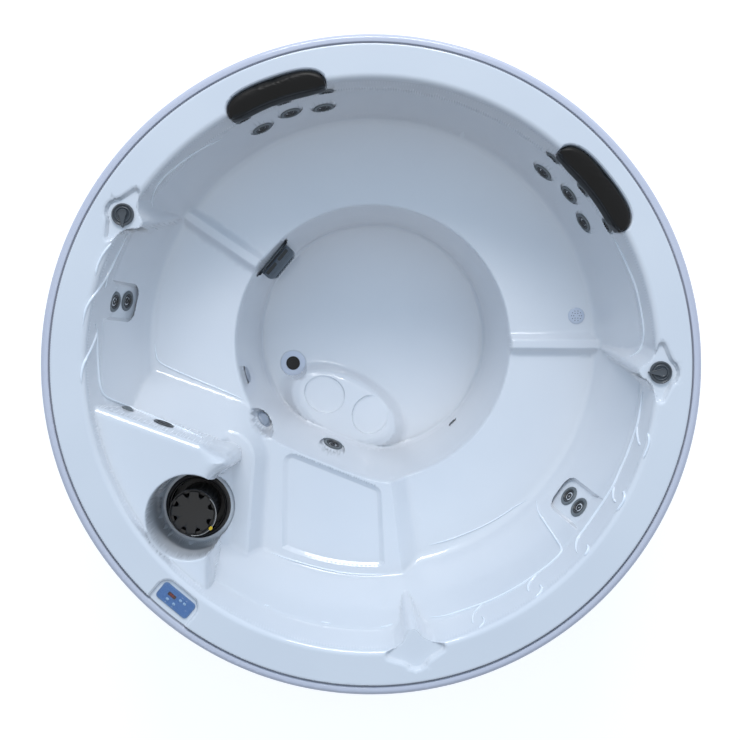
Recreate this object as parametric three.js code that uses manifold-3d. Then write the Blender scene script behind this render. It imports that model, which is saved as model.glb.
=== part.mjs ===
// Round acrylic hot tub: one thermoformed shell with seats, footwell and skim filter well,
// its jets, valves and fittings, a round stave cabinet on a base pan, and the equipment under the seats.
// Millimetres, +Z up, origin on the ground under the centre of the rim.
import * as THREE from 'three';
import { mergeVertices } from 'three/addons/utils/BufferGeometryUtils.js';
import Module from 'manifold-3d';

const wasm = await Module();
wasm.setup();

// Driving sizes of the tub
const rimHeight = 860;
const outerRadius = 990;
const sheet = 7;
const fitGap = 0.3;
const overrun = 4;

// Rim: a low ledge runs round the outside, the deck stands a step above it
const ledgeWidth = 28;
const ledgeDrop = 10;
const skirtDrop = 56;
const edgeRound = 8;
const deckWidth = 110;
const lipRound = 20;

// Basin walls: four rings of the mould, each with its depth below the deck, shift and radius
const creaseDepth = 130;
const creaseInset = 160;
const creaseShift = 10;
const seatDepth = 390;
const seatInset = 257;
const footFillet = 44;
const wellShiftX = 5;
const wellShiftY = 54;

// Footwell
const footwellFloorRise = 110;
const footwellRadius = 449;
const footwellTaper = 55;
const footwellFloorShift = 12;
const footwellFillet = 34;
const chordInset = 39;
const chordTurn = 248.3;
const chordRound = 40;

// Ribs between the seats run along lines through the footwell centre
const ribDepth = 364;
const ribCrest = 30;
const ribSpread = 22;
const leftRibTurn = 145.5;
const rightRibTurn = -0.5;
const frontRibTurn = -83;

// Star pods in the deck edge, over the ribs
const podDepth = 15;
const podReachIn = 82;
const podReachAlong = 98;
const podWaist = 46;
const podTipRound = 12;
const podWaistRound = 46;
const podInset = 122;
const leftPodTurn = 148.9;
const rightPodTurn = -1.6;
const frontPodTurn = -81.2;
const finLean = 92;

// Raised front seat, filter deck and filter shelf
const frontSeatDepth = 345;
const frontSeatDish = 12;
const frontSeatLip = 20;
const frontSeatFlank = 60;
const frontSeatReachLeft = 190;
const frontSeatFallShare = 0.36;
const dishReachLeft = 138;
const dishReachRight = 200;
const dishLeftTurn = 244.2;
const dishRightTurn = 273;
const filterDeckDepth = 285;
const shelfDepth = 45;
const shelfLip = 22;
const shelfSlopeDepth = 250;
const shelfSlopeSpread = 140;
const shelfTurn = -19.9;
const shelfReach = 220.3;
const filterInset = 268;
const filterTurn = 220.1;
const filterWellRadius = 130;
const filterWellFoot = 12;
const filterWellDepth = 291;
const filterDeckFrontReach = 243;
const filterDeckRightReach = 190;
const filterDeckTaper = 60;
const filterDeckRound = 95;
const filterDeckSpread = 75;
const shelfNoseReach = 180;
const shelfNoseRound = 32;
const shelfRightReach = 70;
const shelfBackReachRight = 62;
const shelfBackReachUp = 108;
const shelfBackRound = 30;

// Foot mound on the footwell floor
const moundX = -95;
const moundY = -190;
const moundLength = 226;
const moundWidth = 128;
const moundHeight = 66;
const moundSpread = 40;
const moundTurn = -28;
const padSink = 7;

// Pillows on the bench side of the deck
const pillowTurns = [109.5, 38.2];
const pillowHalfTurn = 10.4;
const pillowInset = 84;
const pillowWidth = 82;
const pillowTopRise = 16;
const pillowRecessDepth = 76;
const pillowEndShare = 0.55;

// Jets: six in each back rest cluster, two in each side seat, one for the feet
const jetRadius = 33;
const smallJetRadius = 24;
const jetTubeRadius = 17;
const jetTubeLength = 36;
const jetFlange = 5;
const jetPadSink = 5;
const jetPadMargin = 8;
const jetCupWall = 5;
const jetCupLength = 58;
const jetHoleClearance = 1;
const jetClusterTurns = [108.7, 38.7];
const upperJetTurn = 9.2;
const upperJetDepth = 125;
const lowerJetTurn = 7.5;
const lowerJetDepth = 257;
const middleJetDepth = 226;
const sidePanelTurns = [168.4, -36.6];
const sidePanelDepths = [224, 245];
const sidePanelLength = 190;
const sidePanelWidth = 116;
const sidePanelSink = 14;
const sidePanelRound = 34;
const sideJetPitch = 76;
const sideJetShift = 8;
const footJetShare = 0.5722;
const footJetAlong = 8;
const footJetTilt = 20;

// Fittings of the footwell, the seat and the shelf wall
const suctionTurn = 140.7;
const suctionShare = 0.3056;
const suctionWidth = 128;
const suctionHeight = 112;
const suctionReach = 52;
const suctionPadWidth = 150;
const suctionSlots = 7;
const suctionRound = 14;
const suctionBar = 8;
const lightTurn = 215.9;
const lightShare = 0.2444;
const lightRadius = 30;
const lightTilt = 26;
const coverTurn = 195.3;
const coverShare = 0.3056;
const coverRadius = 30;
const returnTurn = -46.8;
const returnShare = 0.8333;
const returnRadius = 17;
const drainX = -276;
const drainY = -31;
const drainRadius = 44;
const injectorInset = 303;
const injectorTurn = 11.85;
const injectorRadius = 27;
const airCapGap = 24.6;
const airCapShare = 0.254;
const airCapRadius = 20;
const slimJetReach = 93;
const slimJetShare = 0.154;
const slimJetRadius = 33;
const fittingFlange = 4;
const fittingSpigot = 22;
const spigotLength = 30;
const lightCrown = 6;

// Skim filter: canister, floating weir ring and lift-out basket
const canisterRadius = 96;
const canisterFlangeRadius = 104;
const canisterWall = 4;
const canisterLength = 330;
const canisterRim = 9;
const weirWall = 7;
const weirHeight = 38;
const basketRadius = 72;
const basketHeight = 220;
const basketPlate = 6;
const basketStand = 146;
const basketNotches = 8;
const basketNotchRadius = 10;
const basketCapRadius = 48;
const basketBail = 26;
const weirDrop = 4;
const cartridgePleats = 20;

// Control panel in a notch of the deck
const controlTurn = 230.4;
const controlInset = 74;
const controlLength = 118;
const controlWidth = 55;
const controlThickness = 4;
const controlBodyDepth = 16;
const controlMargin = 10;
const controlBodyInset = 9;
const displayPlace = { xShare: -0.15, yShare: 0.08 };
const displaySeat = 1.5;
const displayLength = 27;
const displayWidth = 10;
const buttonLength = 10;
const buttonWidth = 7;
const buttonRise = 1.6;
const buttonTravel = 1.1;
const buttonSeat = 2.4;

// Diverter valves in the two side pods
const knobRadius = 34;
const knobHeight = 13;
const knobStemRadius = 12;
const knobNose = 39;
const knobTurns = { left: -90, right: 180 };
const valveRadius = 30;
const valveLength = 62;
const valveWall = 5;

// Cabinet, frame and base pan
const panelInset = 12;
const panelThickness = 16;
const panelTopDrop = 62;
const staveGroove = 5;
const stavesPerPanel = 11;
const staveGrooveShare = 0.16;
const panelCount = 6;
const doorPlace = 4;
const panelJoint = 3;
const firstPanelTurn = 15;
const frameDepth = 40;
const frameRingHeight = 44;
const postHalfTurn = 2.2;
const basePanHeight = 26;
const basePanLip = 14;
const plinthRadius = 228;

// Equipment behind the door
const pumpX = -60;
const pumpInset = 300;
const pumpHeadRadius = 84;
const pumpHeadLength = 96;
const motorRadius = 72;
const motorLength = 250;
const motorFins = 10;
const pumpRise = 14;
const heaterRadius = 34;
const heaterLength = 300;
const heaterX = -80;
const heaterInset = 392;
const heaterRise = 236;
const boxLength = 220;
const boxDepth = 110;
const boxHeight = 200;
const boxX = 370;
const boxInset = 315;
const boxRound = 16;
const pipeRadius = 24;
const mainPipeRadius = 18;
const mainPipeInset = 100;
const mainPipeDepth = 190;
const mainPipeDrop = 140;
const mainPipeStart = -45;
const mainPipeFinish = 172;
const suctionRunGap = 71;
const suctionRunTurns = [155, 172, 190, 208, 224];

const halfCircle = 180;
const wholeCircle = 2 * halfCircle;
const frontTurn = 270;
const degree = Math.PI / halfCircle;
const fullTurn = 2 * Math.PI;

// Places that follow the outer size, the rim height or the filter
const creaseRadius = outerRadius - creaseInset;
const seatRadius = outerRadius - seatInset;
const podRadius = outerRadius - podInset;
const footwellDepth = rimHeight - footwellFloorRise;
const footwellFloorRadius = footwellRadius - footwellTaper;
const chordDistance = footwellRadius - chordInset;
const footJetDepth = THREE.MathUtils.lerp(seatDepth, footwellDepth, footJetShare);
const suctionDepth = THREE.MathUtils.lerp(seatDepth, footwellDepth, suctionShare);
const lightDepth = THREE.MathUtils.lerp(seatDepth, footwellDepth, lightShare);
const coverDepth = THREE.MathUtils.lerp(seatDepth, footwellDepth, coverShare);
const returnDepth = THREE.MathUtils.lerp(seatDepth, footwellDepth, returnShare);
const airCapDepth = THREE.MathUtils.lerp(creaseDepth, seatDepth, airCapShare);
const slimJetDepth = THREE.MathUtils.lerp(creaseDepth, seatDepth, slimJetShare);
const filterX = (outerRadius - filterInset) * Math.cos(filterTurn * degree);
const filterY = (outerRadius - filterInset) * Math.sin(filterTurn * degree);
const shelfOutX = -Math.sin(shelfTurn * degree);
const shelfOutY = Math.cos(shelfTurn * degree);
const shelfOffset = -filterX * shelfOutX - filterY * shelfOutY - shelfReach;
const shelfNoseX = filterX + shelfNoseReach;
const shelfRightX = filterX + shelfRightReach;
const shelfBackX = filterX + shelfBackReachRight;
const shelfBackY = filterY + shelfBackReachUp;
const filterDeckFront = filterY + filterDeckFrontReach;
const filterDeckRight = filterX + filterDeckRightReach;
const slimJetRun = filterX - slimJetReach;
const pillowOuterRadius = outerRadius - pillowInset;
const pillowInnerRadius = pillowOuterRadius - pillowWidth;
const injectorX = (outerRadius - injectorInset) * Math.cos(injectorTurn * degree);
const injectorY = (outerRadius - injectorInset) * Math.sin(injectorTurn * degree);
const controlRadius = outerRadius - controlInset;
const panelOuterRadius = outerRadius - panelInset;
const pumpY = pumpInset - outerRadius;
const heaterY = heaterInset - outerRadius;
const heaterHeight = basePanHeight + heaterRise;
const suctionRunRadius = footwellRadius + suctionRunGap;
const boxY = boxInset - outerRadius;
const mainPipeRun = outerRadius - mainPipeInset;
const up = new THREE.Vector3(0, 0, 1);
const wellCentre = new THREE.Vector2(wellShiftX, wellShiftY);

// Solids from meshes and back
const mergeReach = 1e-4;

function solid(geometry) {
  const bare = geometry.index ? geometry.clone() : geometry;
  bare.deleteAttribute('normal');
  bare.deleteAttribute('uv');
  const merged = mergeVertices(bare, mergeReach);
  return new wasm.Manifold(new wasm.Mesh({
    numProp: 3,
    vertProperties: new Float32Array(merged.attributes.position.array),
    triVerts: new Uint32Array(merged.index.array),
  }));
}

function geometryOf(body) {
  const mesh = body.getMesh();
  const geometry = new THREE.BufferGeometry();
  geometry.setAttribute('position', new THREE.BufferAttribute(new Float32Array(mesh.vertProperties), 3));
  geometry.setIndex(new THREE.BufferAttribute(new Uint32Array(mesh.triVerts), 1));
  return geometry;
}

function unite(bodies) {
  return bodies.reduce((whole, body) => whole.add(body));
}

// A closed body through rings of points that run anticlockwise, from the top ring down
function loftGeometry(rings) {
  const count = rings[0].length;
  const positions = rings.flat().flatMap((point) => [point.x, point.y, point.z]);
  const index = [];
  for (let level = 0; level < rings.length - 1; level += 1) {
    for (let step = 0; step < count; step += 1) {
      const next = (step + 1) % count;
      const a = level * count + step;
      const b = level * count + next;
      const c = (level + 1) * count + next;
      const d = (level + 1) * count + step;
      index.push(a, d, c, a, c, b);
    }
  }
  const first = rings[0];
  const last = rings[rings.length - 1];
  const lastStart = (rings.length - 1) * count;
  for (const triangle of capTriangles(first)) {
    index.push(triangle[0], triangle[1], triangle[2]);
  }
  for (const triangle of capTriangles(last)) {
    index.push(lastStart + triangle[0], lastStart + triangle[2], lastStart + triangle[1]);
  }
  const geometry = new THREE.BufferGeometry();
  geometry.setAttribute('position', new THREE.Float32BufferAttribute(positions, 3));
  geometry.setIndex(index);
  return geometry;
}

function capTriangles(ring) {
  const flat = ring.map((point) => new THREE.Vector2(point.x, point.y));
  return THREE.ShapeUtils.triangulateShape(flat, []).map((triangle) => {
    const [a, b, c] = triangle.map((corner) => flat[corner]);
    const turnsLeft = (b.x - a.x) * (c.y - a.y) - (b.y - a.y) * (c.x - a.x) > 0;
    return turnsLeft ? triangle : [triangle[0], triangle[2], triangle[1]];
  });
}

function levelRing(outline, height) {
  return outline.map((point) => new THREE.Vector3(point.x, point.y, height));
}

// Outlines in plan
function circleOutline(centre, radius, count) {
  return Array.from({ length: count }, (_, step) => {
    const angle = (step / count) * fullTurn;
    return new THREE.Vector2(centre.x + radius * Math.cos(angle), centre.y + radius * Math.sin(angle));
  });
}

function ovalOutline(centre, halfLength, halfWidth, turn, count) {
  return circleOutline(new THREE.Vector2(), 1, count).map((point) => (
    new THREE.Vector2(point.x * halfLength, point.y * halfWidth).rotateAround(new THREE.Vector2(), turn)
      .add(centre)
  ));
}

function roundedOutline(corners, arcSteps = 3) {
  return corners.flatMap((corner, place) => {
    const before = corners[(place + corners.length - 1) % corners.length];
    const after = corners[(place + 1) % corners.length];
    const point = new THREE.Vector2(corner.x, corner.y);
    if (!corner.round) {
      return [point];
    }
    const back = new THREE.Vector2(before.x, before.y).sub(point).normalize();
    const ahead = new THREE.Vector2(after.x, after.y).sub(point).normalize();
    const half = Math.acos(THREE.MathUtils.clamp(back.dot(ahead), -1, 1)) / 2;
    const middle = back.clone().add(ahead).normalize();
    const centre = point.clone().addScaledVector(middle, corner.round / Math.sin(half));
    const start = point.clone().addScaledVector(back, corner.round / Math.tan(half)).sub(centre);
    const sweep = (Math.PI - 2 * half) * Math.sign(ahead.x * back.y - ahead.y * back.x);
    return Array.from({ length: arcSteps + 1 }, (_, step) => (
      start.clone().rotateAround(new THREE.Vector2(), (sweep * step) / arcSteps).add(centre)
    ));
  });
}

function slotOutline(length, width, arcSteps = 5) {
  const radius = width / 2;
  return [1, -1].flatMap((side) => Array.from({ length: arcSteps + 1 }, (_, step) => {
    const angle = (step / arcSteps - 0.5) * Math.PI + (side > 0 ? 0 : Math.PI);
    const x = side * (length / 2 - radius) + radius * Math.cos(angle);
    return new THREE.Vector2(x, radius * Math.sin(angle));
  }));
}

const leastStretch = 0.5;

function offsetOutline(outline, distance) {
  const count = outline.length;
  return outline.map((point, place) => {
    const before = outline[(place + count - 1) % count];
    const after = outline[(place + 1) % count];
    const enter = point.clone().sub(before).normalize();
    const leave = after.clone().sub(point).normalize();
    const normal = new THREE.Vector2(enter.y + leave.y, -enter.x - leave.x).normalize();
    const stretch = Math.max(normal.x * enter.y - normal.y * enter.x, leastStretch);
    return point.clone().addScaledVector(normal, distance / stretch);
  });
}

// Mould forms: a pocket grows with the sheet thickness, a raised block shrinks by it
function pocket(outline, levels, grow) {
  const rings = levels.map(({ depth, inset }) => (
    levelRing(offsetOutline(outline, grow - inset), rimHeight - depth - grow)
  ));
  const top = grow > 0 ? rimHeight - sheet / 2 : rimHeight + overrun;
  const firstRing = rings[0].map((point) => point.clone().setZ(Math.max(top, point.z + overrun)));
  return solid(loftGeometry([firstRing, ...rings]));
}

function block(outline, levels, grow) {
  const rings = levels.map(({ depth, spread }) => (
    levelRing(offsetOutline(outline, spread - grow), rimHeight - depth - grow)
  ));
  return solid(loftGeometry(rings));
}

// The basin wall is lofted through four rings, each a circle of its own centre and radius
const wallRings = [
  { depth: 0, shiftX: 0, shiftY: 0, radius: outerRadius - ledgeWidth - deckWidth + lipRound },
  { depth: lipRound, shiftX: 0, shiftY: 0, radius: outerRadius - ledgeWidth - deckWidth },
  { depth: creaseDepth, shiftX: 0, shiftY: creaseShift, radius: creaseRadius },
  { depth: seatDepth, shiftX: wellShiftX, shiftY: wellShiftY, radius: seatRadius },
];

function wallRing(depth) {
  const below = wallRings.findIndex((ring) => ring.depth >= depth);
  const place = THREE.MathUtils.clamp(below, 1, wallRings.length - 1);
  const upper = wallRings[place - 1];
  const lower = wallRings[place];
  const share = (depth - upper.depth) / (lower.depth - upper.depth);
  const blend = (name) => THREE.MathUtils.lerp(upper[name], lower[name], share);
  return { centre: new THREE.Vector2(blend('shiftX'), blend('shiftY')), radius: blend('radius') };
}

function wallPoint(turn, depth) {
  const ring = wallRing(depth);
  return new THREE.Vector3(
    ring.centre.x + ring.radius * Math.cos(turn),
    ring.centre.y + ring.radius * Math.sin(turn),
    rimHeight - depth,
  );
}

const probeShare = 0.01;

function wallNormal(turn, depth) {
  const along = wallPoint(turn + probeShare, depth).sub(wallPoint(turn - probeShare, depth));
  const down = wallPoint(turn, depth * (1 + probeShare)).sub(wallPoint(turn, depth * (1 - probeShare)));
  return along.cross(down).normalize();
}

const basinSteps = 48;
const lipMidShare = 0.3;

function basin(grow) {
  const lipMid = lipRound * lipMidShare;
  const levels = [
    { depth: 0, inset: 0 },
    { depth: lipMid, inset: lipRound * (1 - lipMidShare) * lipMidShare },
    { depth: lipRound, inset: 0 },
    { depth: creaseDepth, inset: 0 },
    { depth: seatDepth - footFillet, inset: 0 },
    { depth: seatDepth - footFillet / 4, inset: footFillet / 4 },
    { depth: seatDepth, inset: footFillet * 3 / 4 },
  ];
  const rings = levels.map(({ depth, inset }) => {
    const { centre, radius } = wallRing(depth);
    return levelRing(circleOutline(centre, radius - inset + grow, basinSteps), rimHeight - depth - grow);
  });
  const top = grow > 0 ? rimHeight - sheet / 2 : rimHeight + overrun;
  const mouth = rings[0].map((point) => point.clone().setZ(top));
  return solid(loftGeometry([mouth, ...rings]));
}

const footwellSteps = 32;

function footwellOutline(centre, radius, chord) {
  return Array.from({ length: footwellSteps }, (_, step) => {
    const angle = (step / footwellSteps) * fullTurn;
    const facing = Math.cos(angle - chordTurn * degree);
    const reach = facing > 0 ? chord / facing : Infinity;
    const blend = Math.max(0, chordRound - Math.abs(radius - reach)) / chordRound;
    const bound = Math.min(radius, reach) - (blend * blend * chordRound) / 4;
    return new THREE.Vector2(centre.x + bound * Math.cos(angle), centre.y + bound * Math.sin(angle));
  });
}

function footwell(grow) {
  const fullInset = footwellRadius - footwellFloorRadius;
  const wallSlope = fullInset / (footwellDepth - seatDepth);
  const levels = [
    { depth: frontSeatDepth - 2 * lipRound, inset: 0 },
    { depth: seatDepth, inset: 0 },
    { depth: footwellDepth - footwellFillet, inset: fullInset - wallSlope * footwellFillet },
    { depth: footwellDepth - footwellFillet / 4, inset: fullInset + footwellFillet / 4 },
    { depth: footwellDepth, inset: fullInset + footwellFillet * 3 / 4 },
  ];
  const rings = levels.map(({ depth, inset }) => {
    const share = Math.max(0, depth - seatDepth) / (footwellDepth - seatDepth);
    const centre = wellCentre.clone();
    centre.y += footwellFloorShift * share;
    const outline = footwellOutline(centre, footwellRadius - inset + grow, chordDistance - inset + grow);
    return levelRing(outline, rimHeight - depth - grow);
  });
  return solid(loftGeometry(rings));
}

const moundSteps = 20;
const moundShoulderShare = 0.85;

function mound(grow) {
  const outline = ovalOutline(new THREE.Vector2(moundX, moundY), moundLength, moundWidth,
    moundTurn * degree, moundSteps);
  return block(outline, [
    { depth: footwellDepth - moundHeight, spread: -moundSpread },
    { depth: footwellDepth - moundHeight * moundShoulderShare, spread: -moundSpread / 2 },
    { depth: footwellDepth + overrun + sheet, spread: 0 },
  ], grow);
}

// Two shallow oval pads for the feet, sunk in the mound
const footPadSteps = 12;
const footPads = [
  { alongShare: -0.37, acrossShare: 0.12, lengthShare: 0.32, widthShare: 0.5 },
  { alongShare: 0.4, acrossShare: 0.22, lengthShare: 0.28, widthShare: 0.54 },
];

function footPad(pad, grow) {
  const turn = moundTurn * degree;
  const centre = new THREE.Vector2(pad.alongShare * moundLength, pad.acrossShare * moundWidth)
    .rotateAround(new THREE.Vector2(), turn).add(new THREE.Vector2(moundX, moundY));
  const outline = ovalOutline(centre, pad.lengthShare * moundLength, pad.widthShare * moundWidth,
    turn, footPadSteps);
  const depth = footwellDepth - moundHeight;
  return pocket(outline, [
    { depth: depth - overrun, inset: 0 },
    { depth: depth + padSink, inset: padSink },
  ], grow);
}

// A rib is a low bar of sloped sides from the footwell edge out to the wall
function rib(turnDegrees, grow) {
  const turn = turnDegrees * degree;
  const inner = footwellRadius - lipRound;
  const outer = seatRadius + footFillet;
  const corners = [
    { x: inner, y: -ribCrest / 2 },
    { x: outer, y: -ribCrest / 2 },
    { x: outer, y: ribCrest / 2 },
    { x: inner, y: ribCrest / 2 },
  ].map(({ x, y }) => new THREE.Vector2(x, y).rotateAround(new THREE.Vector2(), turn).add(wellCentre));
  return block(corners, [
    { depth: ribDepth, spread: 0 },
    { depth: seatDepth + sheet + overrun, spread: ribSpread },
  ], grow);
}

// The star outline has four drawn-out tips with hollow sides between them
const starCorners = 8;

function starOutline(centre, turn) {
  const corners = Array.from({ length: starCorners }, (_, place) => {
    const angle = (place / starCorners) * fullTurn;
    const tipReach = place % 4 === 0 ? podReachIn : podReachAlong;
    const reach = place % 2 === 0 ? tipReach : podWaist;
    const round = place % 2 === 0 ? podTipRound : podWaistRound;
    return { x: reach * Math.cos(angle), y: reach * Math.sin(angle), round };
  });
  return roundedOutline(corners, 1).map((point) => (
    point.rotateAround(new THREE.Vector2(), turn).add(centre)
  ));
}

const pods = [
  { name: 'left', turn: leftPodTurn * degree, ribTurn: leftRibTurn * degree },
  { name: 'right', turn: rightPodTurn * degree, ribTurn: rightRibTurn * degree },
  { name: 'front', turn: frontPodTurn * degree, ribTurn: frontRibTurn * degree },
];

function podCentre(pod) {
  return new THREE.Vector2(podRadius * Math.cos(pod.turn), podRadius * Math.sin(pod.turn));
}

function podPocket(pod, grow) {
  return pocket(starOutline(podCentre(pod), pod.turn), [
    { depth: 0, inset: -podDepth / 2 },
    { depth: podDepth / 2, inset: 0 },
    { depth: podDepth, inset: podDepth / 3 },
  ], grow);
}

// Under each pod a fin leans in and runs down to the end of its rib
function podFin(pod, grow) {
  const centre = podCentre(pod);
  const tip = centre.clone().addScaledVector(centre.clone().normalize(), -podReachIn);
  const ribEnd = new THREE.Vector2(Math.cos(pod.ribTurn), Math.sin(pod.ribTurn))
    .multiplyScalar(seatRadius - footFillet / 2).add(wellCentre);
  const lean = ribEnd.sub(tip);
  lean.setLength(Math.min(lean.length(), finLean));
  const upper = starOutline(centre, pod.turn);
  const lower = upper.map((point) => point.clone().add(lean));
  return solid(loftGeometry([
    levelRing(offsetOutline(upper, -grow), rimHeight - podDepth - grow),
    levelRing(offsetOutline(lower, -grow), rimHeight - seatDepth - sheet - overrun - grow),
  ]));
}

// Raised front seat, with a straight front edge over the footwell and a dished top
const chordOut = new THREE.Vector2(Math.cos(chordTurn * degree), Math.sin(chordTurn * degree));
const chordAlong = new THREE.Vector2(-chordOut.y, chordOut.x);

function chordPoint(out, along) {
  return wellCentre.clone().addScaledVector(chordOut, out).addScaledVector(chordAlong, along);
}

function wellPoint(radius, turnDegrees) {
  const turn = turnDegrees * degree;
  return new THREE.Vector2(radius * Math.cos(turn), radius * Math.sin(turn)).add(wellCentre);
}

function frontSeat(grow) {
  const side = new THREE.Vector2(ribCrest / 2, 0);
  const near = wellPoint(footwellRadius / 2, frontRibTurn).add(side);
  const far = wellPoint(outerRadius, frontRibTurn).add(side);
  const corner = chordPoint(chordDistance - lipRound, -frontSeatReachLeft);
  const left = filterX - filterWellRadius;
  const outline = roundedOutline([
    { x: near.x, y: near.y },
    { x: corner.x, y: corner.y, round: lipRound * 2 },
    { x: left, y: corner.y - frontSeatFallShare * (corner.x - left) },
    { x: left, y: -outerRadius },
    { x: far.x, y: far.y },
  ]);
  return block(outline, [
    { depth: frontSeatDepth, spread: -lipRound / 2 },
    { depth: frontSeatDepth + lipRound / 2, spread: 0 },
    { depth: seatDepth + sheet + overrun, spread: frontSeatFlank },
  ], grow);
}

const dishBackSteps = 6;

function frontSeatDishPocket(grow) {
  const out = chordDistance + frontSeatLip;
  const back = Array.from({ length: dishBackSteps + 1 }, (_, step) => (
    wellPoint(seatRadius, THREE.MathUtils.lerp(dishLeftTurn, dishRightTurn, step / dishBackSteps))
  ));
  const outline = [chordPoint(out, -dishReachLeft), ...back, chordPoint(out, dishReachRight)];
  return pocket(outline, [
    { depth: frontSeatDepth - overrun, inset: 0 },
    { depth: frontSeatDepth + frontSeatDish, inset: frontSeatDish },
  ], grow);
}

// The filter deck stands above the front seat and slopes down to it
function filterDeck(grow) {
  const outline = roundedOutline([
    { x: -outerRadius, y: filterDeckFront },
    { x: -outerRadius, y: -outerRadius },
    { x: filterDeckRight - filterDeckTaper, y: -outerRadius },
    { x: filterDeckRight, y: filterDeckFront, round: filterDeckRound },
  ]);
  return block(outline, [
    { depth: filterDeckDepth, spread: -lipRound / 2 },
    { depth: filterDeckDepth + lipRound / 2, spread: 0 },
    { depth: frontSeatDepth, spread: filterDeckSpread / 2 },
    { depth: seatDepth + sheet + overrun, spread: filterDeckSpread },
  ], grow);
}

// The shelf hides the filter well: a face wall towards the side seat, then a slope to the seat
function shelf(grow) {
  const faceTurn = shelfTurn * degree;
  const along = new THREE.Vector2(Math.cos(faceTurn), Math.sin(faceTurn));
  const out = new THREE.Vector2(-along.y, along.x);
  const onFace = (x) => {
    const run = (x + shelfOffset * out.x) / along.x;
    return new THREE.Vector2(x, -shelfOffset * out.y + run * along.y);
  };
  const start = onFace(-outerRadius);
  const nose = onFace(shelfNoseX);
  const top = roundedOutline([
    { x: start.x, y: start.y },
    { x: start.x, y: -outerRadius },
    { x: shelfRightX, y: -outerRadius },
    { x: shelfRightX, y: filterY },
    { x: shelfBackX, y: shelfBackY, round: shelfBackRound },
    { x: nose.x, y: nose.y, round: shelfNoseRound },
  ]);
  const tongue = block(top, [
    { depth: shelfDepth, spread: -shelfLip },
    { depth: shelfDepth + shelfLip * lipMidShare, spread: -shelfLip * lipMidShare },
    { depth: shelfDepth + shelfLip, spread: 0 },
    { depth: filterDeckDepth + sheet + overrun, spread: sheet },
  ], grow);
  const foot = [
    start,
    new THREE.Vector2(start.x, -outerRadius),
    new THREE.Vector2(shelfRightX, -outerRadius),
    onFace(shelfRightX),
  ];
  return tongue.add(block(foot, [
    { depth: shelfSlopeDepth, spread: 0 },
    { depth: seatDepth + sheet + overrun, spread: shelfSlopeSpread },
  ], grow));
}

function filterWell(grow) {
  const outline = circleOutline(new THREE.Vector2(filterX, filterY), filterWellRadius, filterSteps);
  return pocket(outline, [
    { depth: shelfDepth, inset: 0 },
    { depth: filterWellDepth, inset: filterWellFoot },
  ], grow);
}

// Pillow recess: a stretch of the deck edge cut down to a step
function arcBand(turnDegrees, halfTurn, inner, outer, steps) {
  const place = (radius, share) => {
    const turn = (turnDegrees + halfTurn * share) * degree;
    return new THREE.Vector2(radius * Math.cos(turn), radius * Math.sin(turn));
  };
  const shares = Array.from({ length: steps + 1 }, (_, step) => (2 * step) / steps - 1);
  return [
    ...shares.map((share) => place(outer, share)),
    ...shares.reverse().map((share) => place(inner, share)),
  ];
}

const recessSteps = 8;

function pillowRecess(turnDegrees, grow) {
  const inner = pillowInnerRadius - lipRound;
  const outline = arcBand(turnDegrees, pillowHalfTurn, inner, pillowOuterRadius, recessSteps);
  return pocket(outline, [
    { depth: 0, inset: 0 },
    { depth: pillowRecessDepth, inset: 0 },
  ], grow);
}

// A notch of the deck takes the control panel down to the level of the ledge
function controlPlace() {
  const turn = controlTurn * degree;
  return new THREE.Vector2(controlRadius * Math.cos(turn), controlRadius * Math.sin(turn));
}

const controlTilt = (controlTurn - frontTurn) * degree;
const notchRoundShare = 0.9;

function turned(outline, turn, centre) {
  return outline.map((point) => point.clone().rotateAround(new THREE.Vector2(), turn).add(centre));
}

function controlNotch(grow) {
  const x = controlLength / 2 + controlMargin;
  const inner = controlWidth / 2 + controlMargin;
  const outer = outerRadius - ledgeWidth - controlRadius + overrun;
  const outline = turned(roundedOutline([
    { x, y: -outer },
    { x, y: inner, round: inner * notchRoundShare },
    { x: -x, y: inner, round: inner * notchRoundShare },
    { x: -x, y: -outer },
  ]), controlTilt, controlPlace());
  return pocket(outline, [
    { depth: 0, inset: -edgeRound / 4 },
    { depth: ledgeDrop, inset: 0 },
  ], grow);
}

// Local frames on the mould surface: z looks into the tub, x runs level along the wall
function wallFrame(origin, normal) {
  const level = new THREE.Vector3().crossVectors(up, normal).normalize();
  const rise = new THREE.Vector3().crossVectors(normal, level);
  return new THREE.Matrix4().makeBasis(level, rise, normal).setPosition(origin);
}

function shifted(frame, x, y, z) {
  return frame.clone().multiply(new THREE.Matrix4().makeTranslation(x, y, z));
}

function sunkPad(outline, frame, sink, taper, grow, reach) {
  const rings = [
    levelRing(offsetOutline(outline, grow + taper), reach),
    levelRing(offsetOutline(outline, grow), -sink - grow),
  ];
  return solid(loftGeometry(rings).applyMatrix4(frame));
}

function inwardNormal(turn, depth) {
  const normal = wallNormal(turn, depth);
  const facing = normal.x * Math.cos(turn) + normal.y * Math.sin(turn);
  return facing > 0 ? normal.negate() : normal;
}

function benchJetPlaces() {
  return jetClusterTurns.flatMap((centre, cluster) => [-1, 0, 1].flatMap((side) => {
    const upperTurn = (centre + side * upperJetTurn) * degree;
    const lowerTurn = (centre + side * lowerJetTurn) * degree;
    const lowerDepth = side === 0 ? middleJetDepth : lowerJetDepth;
    const clusterName = ['left', 'right'][cluster];
    const place = side + 2;
    const upperName = `${clusterName}_upper_${place}`;
    const lowerName = `${clusterName}_lower_${place}`;
    return [
      { name: upperName, turn: upperTurn, depth: upperJetDepth, size: smallJetRadius },
      { name: lowerName, turn: lowerTurn, depth: lowerDepth, size: jetRadius },
    ];
  })).map(({ name, turn, depth, size }) => ({
    name: `jet_${name}`,
    size,
    frame: shifted(wallFrame(wallPoint(turn, depth), inwardNormal(turn, depth)), 0, 0, -jetPadSink),
  }));
}

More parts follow.
